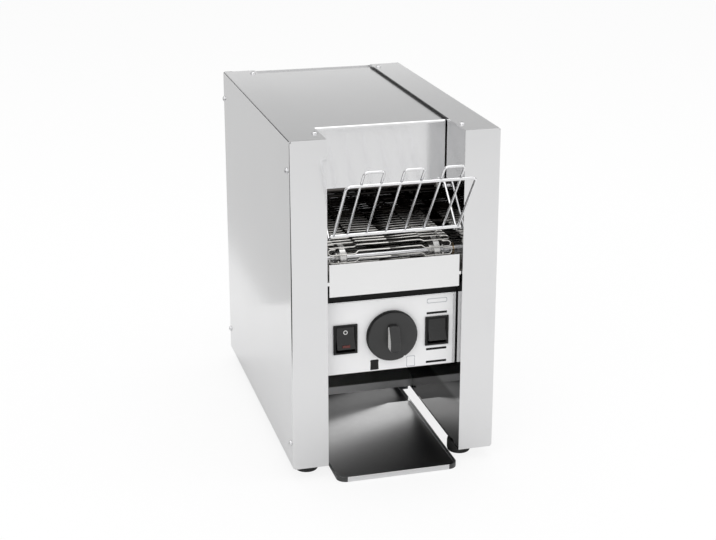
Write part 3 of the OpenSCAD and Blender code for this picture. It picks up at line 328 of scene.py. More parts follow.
def mesh_object(name, work, recalculate=False):
    """A mesh object out of a finished bmesh; recalculate turns its faces outward."""
    if recalculate:
        bmesh.ops.recalc_face_normals(work, faces=work.faces)
    mesh = bpy.data.meshes.new(name)
    work.to_mesh(mesh)
    work.free()
    return add_object(name, mesh)


def apply_modifiers(piece):
    """Turns a piece and its modifiers into a plain mesh."""
    graph = bpy.context.evaluated_depsgraph_get()
    made = bpy.data.meshes.new_from_object(piece.evaluated_get(graph))
    piece.modifiers.clear()
    old = piece.data
    piece.data = made
    bpy.data.meshes.remove(old)


def shade(mesh, degrees=32):
    """Smooth shading that stays crisp over edges sharper than this angle."""
    mesh.shade_smooth()
    mesh.set_sharp_from_angle(angle=math.radians(degrees))


def soften(node, width, crease=32, segments=2):
    """A copy of a measured part with merged corners and small rounds on its edges."""
    mesh = frame["nodes"][node].data.copy()
    mesh.name = node + "_soft"
    work = bmesh.new()
    work.from_mesh(mesh)
    bmesh.ops.remove_doubles(work, verts=work.verts, dist=2e-6)
    bmesh.ops.dissolve_limit(work, angle_limit=math.radians(0.6), verts=work.verts, edges=work.edges)
    work.to_mesh(mesh)
    work.free()
    piece = add_object(node + "_soft", mesh)
    shade(mesh, crease)
    rounding = piece.modifiers.new("edge_round", "BEVEL")
    rounding.width = width * MM
    rounding.segments = segments
    rounding.limit_method = "ANGLE"
    rounding.angle_limit = math.radians(35)
    flatten = piece.modifiers.new("flat_faces", "WEIGHTED_NORMAL")
    flatten.mode = "FACE_AREA"
    flatten.weight = 100
    flatten.keep_sharp = True
    apply_modifiers(piece)
    return finish_piece(piece, node, BODY_OF[node])


EDGE_ROUND = {
    "left_casing": 0.45, "right_casing": 0.45, "left_inner_wall": 0.20, "right_inner_wall": 0.20,
    "hood": 0.25, "back_panel": 0.25, "base_plate": 0.25, "feet": 0.80, "foot_bolts": 0.30,
    "control_box": 0.40, "control_panel": 0.30, "panel_label": 0.10, "panel_screws": 0.25,
    "power_switch_housing": 0.50, "bread_switch_housing": 0.50, "power_rocker": 0.35,
    "bread_rocker": 0.35, "power_lens": 0.30, "crumb_tray": 0.25, "rack_studs": 0.30,
    "belt_support": 0.25, "front_shaft": 0.50, "drive_shaft": 0.50, "front_belt_wheels": 0.30,
    "drive_belt_wheels": 0.30, "shaft_bearings": 0.30, "front_shaft_rings": 0.15,
    "upper_elements": 0.40, "lower_elements": 0.40, "element_bushes": 0.40, "upper_guard": 0.20,
    "upper_reflector": 0.20, "chute": 0.25, "toast_tray": 0.25, "tray_lip": 0.20, "tray_guides": 0.20,
    "fan_frame": 0.40, "fan_rotor": 0.20, "cord_gland": 0.50,
}
CREASE = {"power_rocker": 12, "bread_rocker": 12}
for node, width in EDGE_ROUND.items():
    soften(node, width, CREASE.get(node, 32))
print("softened pieces:", len(EDGE_ROUND))

# %% [markdown]
# ## A helper for Geometry Nodes
# Things that repeat, such as belt wires and screws, or that follow a path, such as rack wire, are made
# with Geometry Nodes. The helper starts a tree with named inputs, and a second one runs the tree on a
# carrier object and keeps only the plain mesh that comes out, since the export drops live instances.

# %% Helpers for Geometry Nodes


def start_tree(name, inputs):
    """An empty tree with a geometry input and output and the named inputs given."""
    tree = bpy.data.node_groups.new(name, "GeometryNodeTree")
    tree.interface.new_socket("Geometry", in_out="INPUT", socket_type="NodeSocketGeometry")
    tree.interface.new_socket("Geometry", in_out="OUTPUT", socket_type="NodeSocketGeometry")
    for title, kind in inputs:
        tree.interface.new_socket(title, in_out="INPUT", socket_type=kind)
    return tree, tree.nodes.new("NodeGroupInput"), tree.nodes.new("NodeGroupOutput")


def end_tree(tree, geometry, incoming, outgoing):
    """Realizes instances, smooths and gives the material, as the last nodes of every tree."""
    real = tree.nodes.new("GeometryNodeRealizeInstances")
    smooth = tree.nodes.new("GeometryNodeSetShadeSmooth")
    finish = tree.nodes.new("GeometryNodeSetMaterial")
    tree.links.new(geometry, real.inputs["Geometry"])
    tree.links.new(real.outputs["Geometry"], smooth.inputs["Geometry"])
    tree.links.new(smooth.outputs["Geometry"], finish.inputs["Geometry"])
    tree.links.new(incoming.outputs["Finish"], finish.inputs["Material"])
    tree.links.new(finish.outputs["Geometry"], outgoing.inputs["Geometry"])


def grow(carrier, tree, values, name):
    """Runs a tree on the carrier and returns a plain mesh object; the carrier is removed."""
    modifier = carrier.modifiers.new("grow", "NODES")
    modifier.node_group = tree
    for item in tree.interface.items_tree:
        if item.item_type == "SOCKET" and item.in_out == "INPUT" and item.name in values:
            modifier[item.identifier] = values[item.name]
    carrier.update_tag()
    bpy.context.view_layer.update()
    graph = bpy.context.evaluated_depsgraph_get()
    mesh = bpy.data.meshes.new_from_object(carrier.evaluated_get(graph))
    piece = add_object(name, mesh)
    bpy.data.objects.remove(carrier)
    return piece


def curve_carrier(name, paths, closed=False):
    """A curve object of straight runs through the points of each path, in metres."""
    data = bpy.data.curves.new(name, "CURVE")
    data.dimensions = "3D"
    for points in paths:
        spline = data.splines.new("POLY")
        spline.points.add(len(points) - 1)
        for point, target in zip(spline.points, points):
            point.co = (*target, 1)
        spline.use_cyclic_u = closed
    return add_object(name, data)


print("tree helpers ready")

# %% [markdown]
# ## A tree that bends wire
# Wire is bent cold round a pin, so each corner is a round of the same radius. The tree rounds the
# corners of a path, then sweeps a circle along it. Drawing the path as straight runs and leaving the
# rounds to the tree keeps the sizes readable, and one tree serves the rack and the belt alike.

# %% The wire tree
wire_tree, wire_in, wire_out = start_tree("bent_wire", [
    ("Wire diameter", "NodeSocketFloat"), ("Bend radius", "NodeSocketFloat"),
    ("Steps per bend", "NodeSocketInt"), ("Sides", "NodeSocketInt"), ("Finish", "NodeSocketMaterial")])
bend = wire_tree.nodes.new("GeometryNodeFilletCurve")
bend.mode = "POLY"
bend.inputs["Limit Radius"].default_value = True
round_section = wire_tree.nodes.new("GeometryNodeCurvePrimitiveCircle")
halve = wire_tree.nodes.new("ShaderNodeMath")
halve.operation = "MULTIPLY"
halve.inputs[1].default_value = 0.5
sweep = wire_tree.nodes.new("GeometryNodeCurveToMesh")
sweep.inputs["Fill Caps"].default_value = True
wire_tree.links.new(wire_in.outputs["Geometry"], bend.inputs["Curve"])
wire_tree.links.new(wire_in.outputs["Bend radius"], bend.inputs["Radius"])
wire_tree.links.new(wire_in.outputs["Steps per bend"], bend.inputs["Count"])
wire_tree.links.new(wire_in.outputs["Wire diameter"], halve.inputs[0])
wire_tree.links.new(halve.outputs[0], round_section.inputs["Radius"])
wire_tree.links.new(wire_in.outputs["Sides"], round_section.inputs["Resolution"])
wire_tree.links.new(bend.outputs["Curve"], sweep.inputs["Curve"])
wire_tree.links.new(round_section.outputs["Curve"], sweep.inputs["Profile Curve"])
end_tree(wire_tree, sweep.outputs["Mesh"], wire_in, wire_out)


def bent_wires(name, paths, diameter, radius, finish, steps=6, sides=14):
    """Swept wires along paths in metres; diameter and bend radius in millimetres."""
    values = {"Wire diameter": diameter * MM, "Bend radius": radius * MM, "Steps per bend": steps,
              "Sides": sides, "Finish": FINISHES[finish]}
    return grow(curve_carrier(name + "_path", paths), wire_tree, values, name)


def join(name, pieces):
    """One mesh object out of several, all at the origin."""
    work = bmesh.new()
    materials = []
    for piece in pieces:
        for material in piece.data.materials:
            if material not in materials:
                materials.append(material)
        work.from_mesh(piece.data)
    for piece in pieces:
        bpy.data.objects.remove(piece)
    whole = mesh_object(name, work)
    for material in materials:
        whole.data.materials.append(material)
    return whole


print("wire tree nodes:", len(wire_tree.nodes))

# %% [markdown]
# ## The feed rack
# Slices lean on this rack before they slide onto the belt. It is welded from round plated wire: a
# frame bent in one piece over the top, three narrow hoops, and a lower bar with arms that hook on
# studs in the side walls. Its plane leans forward, so its points are given along and off that plane.

# %% Feed rack
RACK_LEAN = math.radians(38.6)
RACK_LENGTH = 91.4
HOOP_LENGTH = 110.6
HOOP_OFF = 3.1
FRAME_HALF_WIDE = 71.5
HOOP_HALF_WIDE = 11
ARM_X = 74
ARM_LENGTH = 63
ARM_FOOT_Y = 11
ARM_DROP = 7
ARM_SLOPE = math.radians(43.6)
HOOK_LENGTH = 6.4
HOOK_SLOPE = math.radians(-46.4)
rack_top_z = (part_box("feed_rack")[1].z - UNDERSIDE) / MM
low_bar_z = rack_top_z - HOOP_LENGTH * math.cos(RACK_LEAN) - HOOP_OFF * math.sin(RACK_LEAN) - 1.5


def on_rack(x, along, off=0.0):
    """A point on the rack's leaning plane, in metres."""
    y = -along * math.sin(RACK_LEAN) + off * math.cos(RACK_LEAN)
    z = low_bar_z + along * math.cos(RACK_LEAN) + off * math.sin(RACK_LEAN)
    return place(x, y, z)


def rack_hoop(middle, half_wide, length, off=0.0):
    """A path up the rack's plane, across, and down again."""
    left, right_side = middle - half_wide, middle + half_wide
    return [on_rack(left, 0, off), on_rack(left, length, off),
            on_rack(right_side, length, off), on_rack(right_side, 0, off)]


def rack_arm(x):
    """A path from the low bar to a foot, up a long slope, and down a short hook over its stud."""
    foot_z = low_bar_z - ARM_DROP
    top_y, top_z = ARM_FOOT_Y + ARM_LENGTH * math.cos(ARM_SLOPE), foot_z + ARM_LENGTH * math.sin(ARM_SLOPE)
    end_y, end_z = top_y + HOOK_LENGTH * math.cos(HOOK_SLOPE), top_z + HOOK_LENGTH * math.sin(HOOK_SLOPE)
    return [on_rack(x, 0), place(x, ARM_FOOT_Y, foot_z), place(x, top_y, top_z), place(x, end_y, end_z)]


frame_path = rack_hoop(0, FRAME_HALF_WIDE, RACK_LENGTH)
hoops = [rack_hoop(middle, HOOP_HALF_WIDE, HOOP_LENGTH, HOOP_OFF) for middle in (-44, 0, 44)]
arms = [rack_arm(-ARM_X), rack_arm(ARM_X)]
rack = join("feed_rack_wire", [
    bent_wires("rack_frame", [frame_path], 3.3, 5.0, "wire_chrome"),
    bent_wires("rack_hoops", hoops, 2.8, 4.0, "wire_chrome"),
    bent_wires("rack_arms", arms, 3.0, 2.5, "wire_chrome"),
    bent_wires("rack_low_bar", [[on_rack(-74.8, 0), on_rack(74.8, 0)]], 4.0, 1.0, "wire_chrome")])
finish_piece(rack, "feed_rack", BODY_OF["feed_rack"])
print("rack triangles:", sum(len(p.vertices) - 2 for p in rack.data.polygons))

# %% [markdown]
# ## The wire belt
# The belt is one wire shape, repeated: straight in the middle, with a small Z on each side, and a loop
# at each edge that hooks into the next wire. A wheel's teeth work in the gaps between the outer runs.
# The carrier is a ring of points, one for each wire, with the turn of the belt there as an attribute,
# and the tree puts the bent wire on each of them.

# %% Conveyor belt
PITCH = 9.0
TEETH = 12
FRONT_SHAFT_Y = 36.0
DRIVE_Y = 306.0
shaft_low, shaft_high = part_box("front_shaft")
SHAFT_Z = ((shaft_low.z + shaft_high.z) / 2 - UNDERSIDE) / MM
WHEEL_R = PITCH / (2 * math.sin(math.pi / TEETH))
runs = round((DRIVE_Y - FRONT_SHAFT_Y) / PITCH)


def round_wheel(middle_y, start_degrees):
    """Half a turn of wire places round a wheel, clockwise as seen from the right."""
    angles = [math.radians(start_degrees - k * 360 / TEETH) for k in range(TEETH // 2)]
    return [(middle_y + WHEEL_R * math.cos(a), SHAFT_Z + WHEEL_R * math.sin(a)) for a in angles]


ring = [(FRONT_SHAFT_Y + k * PITCH, SHAFT_Z + WHEEL_R) for k in range(runs)]
ring += round_wheel(DRIVE_Y, 90)
ring += [(DRIVE_Y - k * PITCH, SHAFT_Z - WHEEL_R) for k in range(runs)]
ring += round_wheel(FRONT_SHAFT_Y, 270)
half_strand = [(0, 3.6, 0), (37.4, 3.6, 0), (40.6, 0, 0), (71.55, 0, 0), (71.55, 7.1, 0), (65.0, 7.1, 0),
               (62.8, 7.4, -0.5), (61.8, 9.0, -1.75), (61.2, 10.6, -0.6)]
strand_path = [Vector((-x, s, n)) * MM for x, s, n in reversed(half_strand[1:])]
strand_path += [Vector(p) * MM for p in half_strand]
strand = bent_wires("strand", [strand_path], 1.7, 3.4, "belt_wire", steps=4, sides=8)

ring_mesh = bpy.data.meshes.new("belt_ring")
ring_mesh.from_pydata([place(0, y, z) for y, z in ring], [], [])
turns = ring_mesh.attributes.new("turn", "FLOAT", "POINT")
for k, (y, z) in enumerate(ring):
    next_y, next_z = ring[(k + 1) % len(ring)]
    turns.data[k].value = math.atan2(next_z - z, next_y - y)
ring_carrier = add_object("belt_ring", ring_mesh)

belt_tree, belt_in, belt_out = start_tree("belt_of_wires", [
    ("Strand", "NodeSocketObject"), ("Finish", "NodeSocketMaterial")])
strand_info = belt_tree.nodes.new("GeometryNodeObjectInfo")
turn_here = belt_tree.nodes.new("GeometryNodeInputNamedAttribute")
turn_here.data_type = "FLOAT"
turn_here.inputs["Name"].default_value = "turn"
about_x = belt_tree.nodes.new("FunctionNodeAxisAngleToRotation")
about_x.inputs["Axis"].default_value = (1, 0, 0)
set_strands = belt_tree.nodes.new("GeometryNodeInstanceOnPoints")
belt_tree.links.new(belt_in.outputs["Strand"], strand_info.inputs["Object"])
belt_tree.links.new(turn_here.outputs["Attribute"], about_x.inputs["Angle"])
belt_tree.links.new(belt_in.outputs["Geometry"], set_strands.inputs["Points"])
belt_tree.links.new(strand_info.outputs["Geometry"], set_strands.inputs["Instance"])
belt_tree.links.new(about_x.outputs["Rotation"], set_strands.inputs["Rotation"])
end_tree(belt_tree, set_strands.outputs["Instances"], belt_in, belt_out)
belt = grow(ring_carrier, belt_tree, {"Strand": strand, "Finish": FINISHES["belt_wire"]}, "wire_belt")
bpy.data.objects.remove(strand)
finish_piece(belt, "conveyor_belt", BODY_OF["conveyor_belt"])
print("belt wires:", len(ring), "triangles:", sum(len(p.vertices) - 2 for p in belt.data.polygons))

# %% [markdown]
# ## The casing screws
# Pan heads with a cross recess hold the casings and the back. One head is turned as a lathe shape and
# cut with a cross, and the tree puts it on a point for each screw, facing out of its sheet. A seeded
# spin turns each cross differently, because nobody lines screws up by hand.

# %% Casing screws


def lathe(name, profile, steps=40):
    """A closed turned shape about Z, from (radius, height) points in millimetres, top first."""
    work = bmesh.new()
    rings = []
    for radius, height in profile:
        if radius < 1e-6:
            rings.append([work.verts.new((0, 0, height * MM))])
        else:
            rings.append([work.verts.new((radius * MM * math.cos(2 * math.pi * k / steps),
                                          radius * MM * math.sin(2 * math.pi * k / steps), height * MM))
                          for k in range(steps)])
    for upper, lower in zip(rings, rings[1:]):
        for k in range(steps):
            k2 = (k + 1) % steps
            corners = [upper[k % len(upper)], lower[k % len(lower)],
                       lower[k2 % len(lower)], upper[k2 % len(upper)]]
            unique = list(dict.fromkeys(corners))
            if len(unique) > 2:
                work.faces.new(unique)
    bmesh.ops.remove_doubles(work, verts=work.verts, dist=1e-7)
    return mesh_object(name, work, recalculate=True)


def block(name, low, high):
    """A plain block between two corners in millimetres, used as a cutter or a core to be rounded."""
    work = bmesh.new()
    bmesh.ops.create_cube(work, size=1)
    for vertex in work.verts:
        for axis in range(3):
            vertex.co[axis] = (low[axis] if vertex.co[axis] < 0 else high[axis]) * MM
    return mesh_object(name, work)


def combine(piece, tool, operation):
    """Cuts a tool from a piece or adds it, then removes the tool."""
    modifier = piece.modifiers.new(operation, "BOOLEAN")
    modifier.operation = operation
    modifier.object = tool
    modifier.solver = "EXACT"
    apply_modifiers(piece)
    bpy.data.objects.remove(tool)


head = lathe("screw_head", [(0, 2.18), (1.2, 2.12), (2.1, 1.92), (2.8, 1.55), (3.25, 1.05), (3.45, 0.55),
                            (3.5, 0.0), (1.95, 0.0), (1.95, -1.15), (0, -1.15)])
for half_x, half_y in ((2.0, 0.42), (0.42, 2.0)):
    combine(head, block("recess", (-half_x, -half_y, 1.0), (half_x, half_y, 3.0)), "DIFFERENCE")
shade(head.data, 30)

CASING_HALF_WIDE, CASING_DEPTH, CASING_HIGH = 120, 390, 385
screw_places = []
for side in (-1, 1):
    for y in (12.5, 385.0):
        for z in (28.0, 350.0):
            screw_places.append((place(side * CASING_HALF_WIDE, y, z), (side, 0, 0)))
    for y in (30.0, 368.0):
        screw_places.append((place(side * 84.5, y, CASING_HIGH), (0, 0, 1)))
    for z in (20.0, 192.5, 365.0):
        screw_places.append((place(side * 100, CASING_DEPTH, z), (0, 1, 0)))
screw_mesh = bpy.data.meshes.new("screw_points")
screw_mesh.from_pydata([p for p, facing in screw_places], [], [])
facing_out = screw_mesh.attributes.new("facing", "FLOAT_VECTOR", "POINT")
for k, (p, facing) in enumerate(screw_places):
    facing_out.data[k].vector = facing
screw_carrier = add_object("screw_points", screw_mesh)

screw_tree, screw_in, screw_out = start_tree("screws_on_points", [
    ("Head", "NodeSocketObject"), ("Seed", "NodeSocketInt"), ("Finish", "NodeSocketMaterial")])
head_info = screw_tree.nodes.new("GeometryNodeObjectInfo")
facing_here = screw_tree.nodes.new("GeometryNodeInputNamedAttribute")
facing_here.data_type = "FLOAT_VECTOR"
facing_here.inputs["Name"].default_value = "facing"
spin = screw_tree.nodes.new("FunctionNodeRandomValue")
spin.data_type = "FLOAT"
spin.inputs[3].default_value = math.pi
spin_turn = screw_tree.nodes.new("FunctionNodeAxisAngleToRotation")
spin_turn.inputs["Axis"].default_value = (0, 0, 1)
aim = screw_tree.nodes.new("FunctionNodeAlignRotationToVector")
aim.axis = "Z"
turn_first = screw_tree.nodes.new("FunctionNodeRotateRotation")
turn_first.rotation_space = "LOCAL"
set_screws = screw_tree.nodes.new("GeometryNodeInstanceOnPoints")
screw_tree.links.new(screw_in.outputs["Head"], head_info.inputs["Object"])
screw_tree.links.new(screw_in.outputs["Seed"], spin.inputs["Seed"])
screw_tree.links.new(spin.outputs[1], spin_turn.inputs["Angle"])
screw_tree.links.new(facing_here.outputs["Attribute"], aim.inputs["Vector"])
screw_tree.links.new(aim.outputs["Rotation"], turn_first.inputs["Rotation"])
screw_tree.links.new(spin_turn.outputs["Rotation"], turn_first.inputs["Rotate By"])
screw_tree.links.new(screw_in.outputs["Geometry"], set_screws.inputs["Points"])
screw_tree.links.new(head_info.outputs["Geometry"], set_screws.inputs["Instance"])
screw_tree.links.new(turn_first.outputs["Rotation"], set_screws.inputs["Rotation"])
end_tree(screw_tree, set_screws.outputs["Instances"], screw_in, screw_out)
screw_values = {"Head": head, "Seed": 7, "Finish": FINISHES["screw_steel"]}
screws = grow(screw_carrier, screw_tree, screw_values, "pan_head_screws")
bpy.data.objects.remove(head)
shade(screws.data, 30)
finish_piece(screws, "casing_screws", BODY_OF["casing_screws"])
print("screws:", len(screw_places))

# %% [markdown]
# ## The speed knob
# The knob is moulded in one piece: a wide skirt with a rounded rim, and a grip across it with round
# ends. The skirt is turned as a lathe shape, the grip is a stadium that narrows a little towards the
# front, and the two are joined into one mesh. A white bar marks where the grip points.

# %% Speed knob
knob_low, knob_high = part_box("speed_knob")
KNOB_Z = ((knob_low.z + knob_high.z) / 2 - UNDERSIDE) / MM
KNOB_BACK = (knob_high.y - FRONT) / MM
KNOB_R = (knob_high.z - knob_low.z) / 2 / MM
GRIP_HALF_LONG = 14.7
GRIP_HALF_WIDE = 6.0
GRIP_CORNER = 3.0
GRIP_HEIGHT = 12.0
BAND_INSIDE = 29.1
KNOB_CREASE = 34
SKIRT_HEIGHT = (knob_high.y - knob_low.y) / MM - GRIP_HEIGHT


def grip_height(along):
    """Height of the grip above the skirt: full at its low end, then a curved ramp to its tip."""
    ramp = max(0.0, (along + 4.0) / (GRIP_HALF_LONG + 4.0))
    edge = 1.2
    inward = min(edge, GRIP_HALF_LONG - abs(along))
    end_round = edge - math.sqrt(edge ** 2 - (edge - inward) ** 2)
    return GRIP_HEIGHT - 8.2 * ramp ** 1.4 - end_round


def grip_half_width(along):
    """Half the grip's width, less in the rounded corners at its ends."""
    into_corner = abs(along) - (GRIP_HALF_LONG - GRIP_CORNER)
    if into_corner <= 0:
        return GRIP_HALF_WIDE
    return GRIP_HALF_WIDE - GRIP_CORNER + math.sqrt(max(0.0, GRIP_CORNER ** 2 - into_corner ** 2))


def grip_bar(name):
    """The grip as cross sections set along its length, each with rounded upper edges."""
    straight = [k * 1.0 for k in range(-11, 12)]
    corner_start = GRIP_HALF_LONG - GRIP_CORNER
    corner = [corner_start + GRIP_CORNER * math.sin(math.radians(a)) for a in (0, 20, 38, 54, 68, 80, 90)]
    stations = sorted(set([-a for a in corner] + straight + corner))
    work = bmesh.new()
    sections = []
    for along in stations:
        wide, high = grip_half_width(along), SKIRT_HEIGHT + grip_height(along)
        half = [(wide, SKIRT_HEIGHT - 2.0), (wide, high - 1.0), (wide - 0.3, high - 0.3), (wide - 1.0, high)]
        outline = half + [(-u, w) for u, w in reversed(half)]
        sections.append([work.verts.new((u * MM, along * MM, w * MM)) for u, w in outline])
    count = len(sections[0])
    for one, other in zip(sections, sections[1:]):
        for k in range(count):
            k2 = (k + 1) % count
            work.faces.new((one[k], one[k2], other[k2], other[k]))
    work.faces.new(sections[0])
    work.faces.new(list(reversed(sections[-1])))
    return mesh_object(name, work, recalculate=True)


skirt = lathe("knob", [(0, 6.70), (14, 6.78), (24, 6.92), (27.2, SKIRT_HEIGHT), (28.0, 6.93), (28.6, 6.70),
                       (28.9, 6.35), (BAND_INSIDE, 5.9), (BAND_INSIDE, 0.0),
                       (3.05, 0.0), (3.05, 12.0), (0, 12.0)], 96)
combine(skirt, grip_bar("grip"), "UNION")
# Painted shade: the skirt's side wall is a separate near-black ring with little gloss, for the dark side of
# the knob.
band = lathe("knob_band", [(BAND_INSIDE, 5.6), (29.4, 5.5), (29.75, 4.6), (KNOB_R, 2.6), (KNOB_R, 0.4),
                           (KNOB_R - 0.5, 0.0), (BAND_INSIDE, 0.0), (BAND_INSIDE, 5.6)], 96)
to_panel = Matrix.Translation(place(0, KNOB_BACK, KNOB_Z)) @ Matrix.Rotation(math.radians(90), 4, "X")
for piece, finish in ((skirt, "knob_black"), (band, "black_painted")):
    for degrees in (23, -61):
        notch = block("notch", (KNOB_R - 2.2, -1.2, -1.0), (KNOB_R + 1.0, 1.2, 9.0))
        notch.data.transform(Matrix.Rotation(math.radians(degrees), 4, "Z"))
        combine(piece, notch, "DIFFERENCE")
    piece.data.transform(to_panel)
    piece.data.materials.clear()
    piece.data.materials.append(FINISHES[finish])
    shade(piece.data, KNOB_CREASE)
finish_piece(skirt, "speed_knob", BODY_OF["speed_knob"])
finish_piece(band, None, BODY_OF["speed_knob"])

pointer_work = bmesh.new()
pointer_stations = [(GRIP_HALF_LONG - 1.6) * k / 12 for k in range(-12, 13)]
pointer_rings = []
for along in pointer_stations:
    end_gap = 0.8 * max(0.0, abs(along) - 11.5) / (GRIP_HALF_LONG - 13.1)
    low = SKIRT_HEIGHT + 0.5 + end_gap
    high = max(low + 0.4, SKIRT_HEIGHT + grip_height(along) - 0.9 - (0.5 * end_gap if along < 0 else 0.0))
    wide = grip_half_width(along)
    inside, outside = wide - 0.5, wide + 0.06
    pointer_rings.append([pointer_work.verts.new((-u * MM, along * MM, w * MM))
                          for u, w in ((inside, low), (outside, low), (outside, high), (inside, high))])
for one, other in zip(pointer_rings, pointer_rings[1:]):
    for k in range(4):
        pointer_work.faces.new((one[k], one[(k + 1) % 4], other[(k + 1) % 4], other[k]))
pointer_work.faces.new(pointer_rings[0])
pointer_work.faces.new(list(reversed(pointer_rings[-1])))
pointer = mesh_object("white_pointer", pointer_work, recalculate=True)
pointer.data.transform(to_panel)
pointer.data.materials.append(FINISHES["pointer_white"])
shade(pointer.data, KNOB_CREASE)
finish_piece(pointer, "knob_pointer", BODY_OF["knob_pointer"])
print("knob radius:", round(KNOB_R, 2), "mm, middle at z =", round(KNOB_Z, 1))

# %% [markdown]
# ## Marks on the label and the switches
# The label is screen printed: short bars above and below a switch and small slices of bread that say
# thin or thick. They are flat ink, so each is a thin plate with rounded corners that stands a few
# hundredths of a millimetre proud of the film. Only shapes are printed, no words.

# %% Printed marks


def rounded_outline(half_wide, half_high, corner, steps=5):
    """Points of a rectangle with rounded corners, in millimetres."""
    points = []
    for cx, cz, start in ((1, 1, 0), (-1, 1, 90), (-1, -1, 180), (1, -1, 270)):
        for k in range(steps + 1):
            angle = math.radians(start + 90 * k / steps)
            points.append((cx * (half_wide - corner) + corner * math.cos(angle),
                           cz * (half_high - corner) + corner * math.sin(angle)))
    return points


def slice_outline(size):
    """Points of a slice of bread: as wide at the foot as at its rounded top, with a slight waist."""
    points = []
    for cx, cz, radius, start, sweep in ((0.28, 0.38, 0.15, -40, 130), (-0.28, 0.38, 0.15, 90, 130),
                                         (-0.35, -0.45, 0.08, 150, 120), (0.35, -0.45, 0.08, 270, 120)):
        for k in range(7):
            angle = math.radians(start + sweep * k / 6)
            points.append(((cx + radius * math.cos(angle)) * size, (cz + radius * math.sin(angle)) * size))
    return points


def print_shape(work, outline, x, z, y, hole=None, thick=0.05):
    """Adds a thin plate, or a thin line where a hole outline is given, facing the front."""
    def ring_at(points, depth):
        return [work.verts.new(place(x + u, depth, z + w)) for u, w in points]
    front_ring, back_ring = ring_at(outline, y - thick), ring_at(outline, y)
    count = len(outline)
    for k in range(count):
        k2 = (k + 1) % count
        work.faces.new((front_ring[k], front_ring[k2], back_ring[k2], back_ring[k]))
    if hole is None:
        work.faces.new(front_ring)
        work.faces.new(list(reversed(back_ring)))
        return
    front_hole, back_hole = ring_at(hole, y - thick), ring_at(hole, y)
    for k in range(count):
        k2 = (k + 1) % count
        work.faces.new((front_hole[k2], front_hole[k], back_hole[k], back_hole[k2]))
        work.faces.new((front_ring[k2], front_ring[k], front_hole[k], front_hole[k2]))
        work.faces.new((back_ring[k], back_ring[k2], back_hole[k2], back_hole[k]))


def marks_piece(name, slot, body, draw):
    """A new piece of printed marks: draw fills the mesh."""
    work = bmesh.new()
    draw(work)
    piece = mesh_object(name, work, recalculate=True)
    piece.data.materials.append(FINISHES[slot])
    return finish_piece(piece, None, body)


label_y = (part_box("panel_label")[0].y - FRONT) / MM


SWITCH_X = 54.3
MARK_HALF_WIDE = 12.3


def dark_marks(work):
    """Three bars at the right switch and a filled slice."""
    for z in (168.6, 124.4, 108.6):
        print_shape(work, rounded_outline(MARK_HALF_WIDE, 1.35, 0.3), SWITCH_X, z, label_y)
    print_shape(work, slice_outline(11.8), -19.8, 112.0, label_y)


def pale_marks(work):
    """A long outline above the right switch and the outline of a slice."""
    outer = rounded_outline(MARK_HALF_WIDE, 3.0, 2.0)
    print_shape(work, outer, SWITCH_X, 183.4, label_y, hole=[(u * 0.92, w * 0.66) for u, w in outer])
    big = slice_outline(12.6)
    print_shape(work, big, 23.5, 112.0, label_y, hole=[(u * 0.84, w * 0.86) for u, w in big])


def ring_print(work, middle, facing, across, radius, line, steps=28):
    """A printed ring: middle and radii in metres, lying on a face with the given directions."""
    low, high = 0.00002, 0.00008
    loops = []
    for size, lift in ((radius, low), (radius, high), (radius - line, high), (radius - line, low)):
        loop = []
        for k in range(steps):
            turn = 2 * math.pi * k / steps
            out = across[0] * size * math.cos(turn) + across[1] * size * math.sin(turn)
            loop.append(work.verts.new(middle + facing * lift + out))
        loops.append(loop)
    for one, other in zip(loops, loops[1:] + loops[:1]):
        for k in range(steps):
            work.faces.new((one[k], one[(k + 1) % steps], other[(k + 1) % steps], other[k]))


def power_ring(work):
    """A ring on the rocker's upper half, which leans back a little."""
    lean = math.radians(1.0)
    facing = Vector((0, -math.cos(lean), math.sin(lean)))
    upward = Vector((0, math.sin(lean), math.cos(lean)))
    middle = place(-SWITCH_X, 15.29, KNOB_Z + 8.5)
    ring_print(work, middle, facing, (Vector((1, 0, 0)), upward), 0.0025, 0.0008)


marks_piece("dark_print", "black_plastic", BODY_OF["panel_label"], dark_marks)
marks_piece("pale_print", "zinc_steel", BODY_OF["panel_label"], pale_marks)
marks_piece("power_ring", "pointer_white", BODY_OF["power_rocker"], power_ring)
print("printed marks made on the label at y =", round(label_y, 2), "mm")

# %% [markdown]
# ## The studio
# A pale floor, a white surround and large soft lamps. Polished sheet shows what stands round it, so
# the surround is what draws it: the floor in front lights the upright faces, and dark cards at the
# sides give the folds and wires their thin dark lines. The cards are seen only in reflections. Two small
# lamps at the chute's lip light only the tray. They are there to give the soft bright band that the
# photograph shows on it. What makes that band on the real toaster isn't known, and without these
# lamps the tray here is almost black.

# %% Floor, surround and lamps
floor_work = bmesh.new()
bmesh.ops.create_grid(floor_work, x_segments=8, y_segments=8, size=6.0)
floor = mesh_object("studio_floor", floor_work)
floor_material = bpy.data.materials.new("studio_floor")
floor_material.use_nodes = True
floor_nodes, floor_links = floor_material.node_tree.nodes, floor_material.node_tree.links
floor_shader = floor_nodes["Principled BSDF"]
floor_shader.inputs["Base Color"].default_value = (0.90, 0.90, 0.90, 1)
floor_shader.inputs["Roughness"].default_value = 0.9
floor_shader.inputs["Specular IOR Level"].default_value = 0.1
glow = floor_nodes.new("ShaderNodeEmission")
rays = floor_nodes.new("ShaderNodeLightPath")
seen = floor_nodes.new("ShaderNodeMath")
seen.operation = "MULTIPLY"
seen.inputs[1].default_value = 0.84
floor_mix = floor_nodes.new("ShaderNodeMixShader")
floor_links.new(rays.outputs["Is Camera Ray"], seen.inputs[0])
floor_links.new(seen.outputs[0], floor_mix.inputs["Fac"])
floor_links.new(floor_shader.outputs["BSDF"], floor_mix.inputs[1])
floor_links.new(glow.outputs["Emission"], floor_mix.inputs[2])
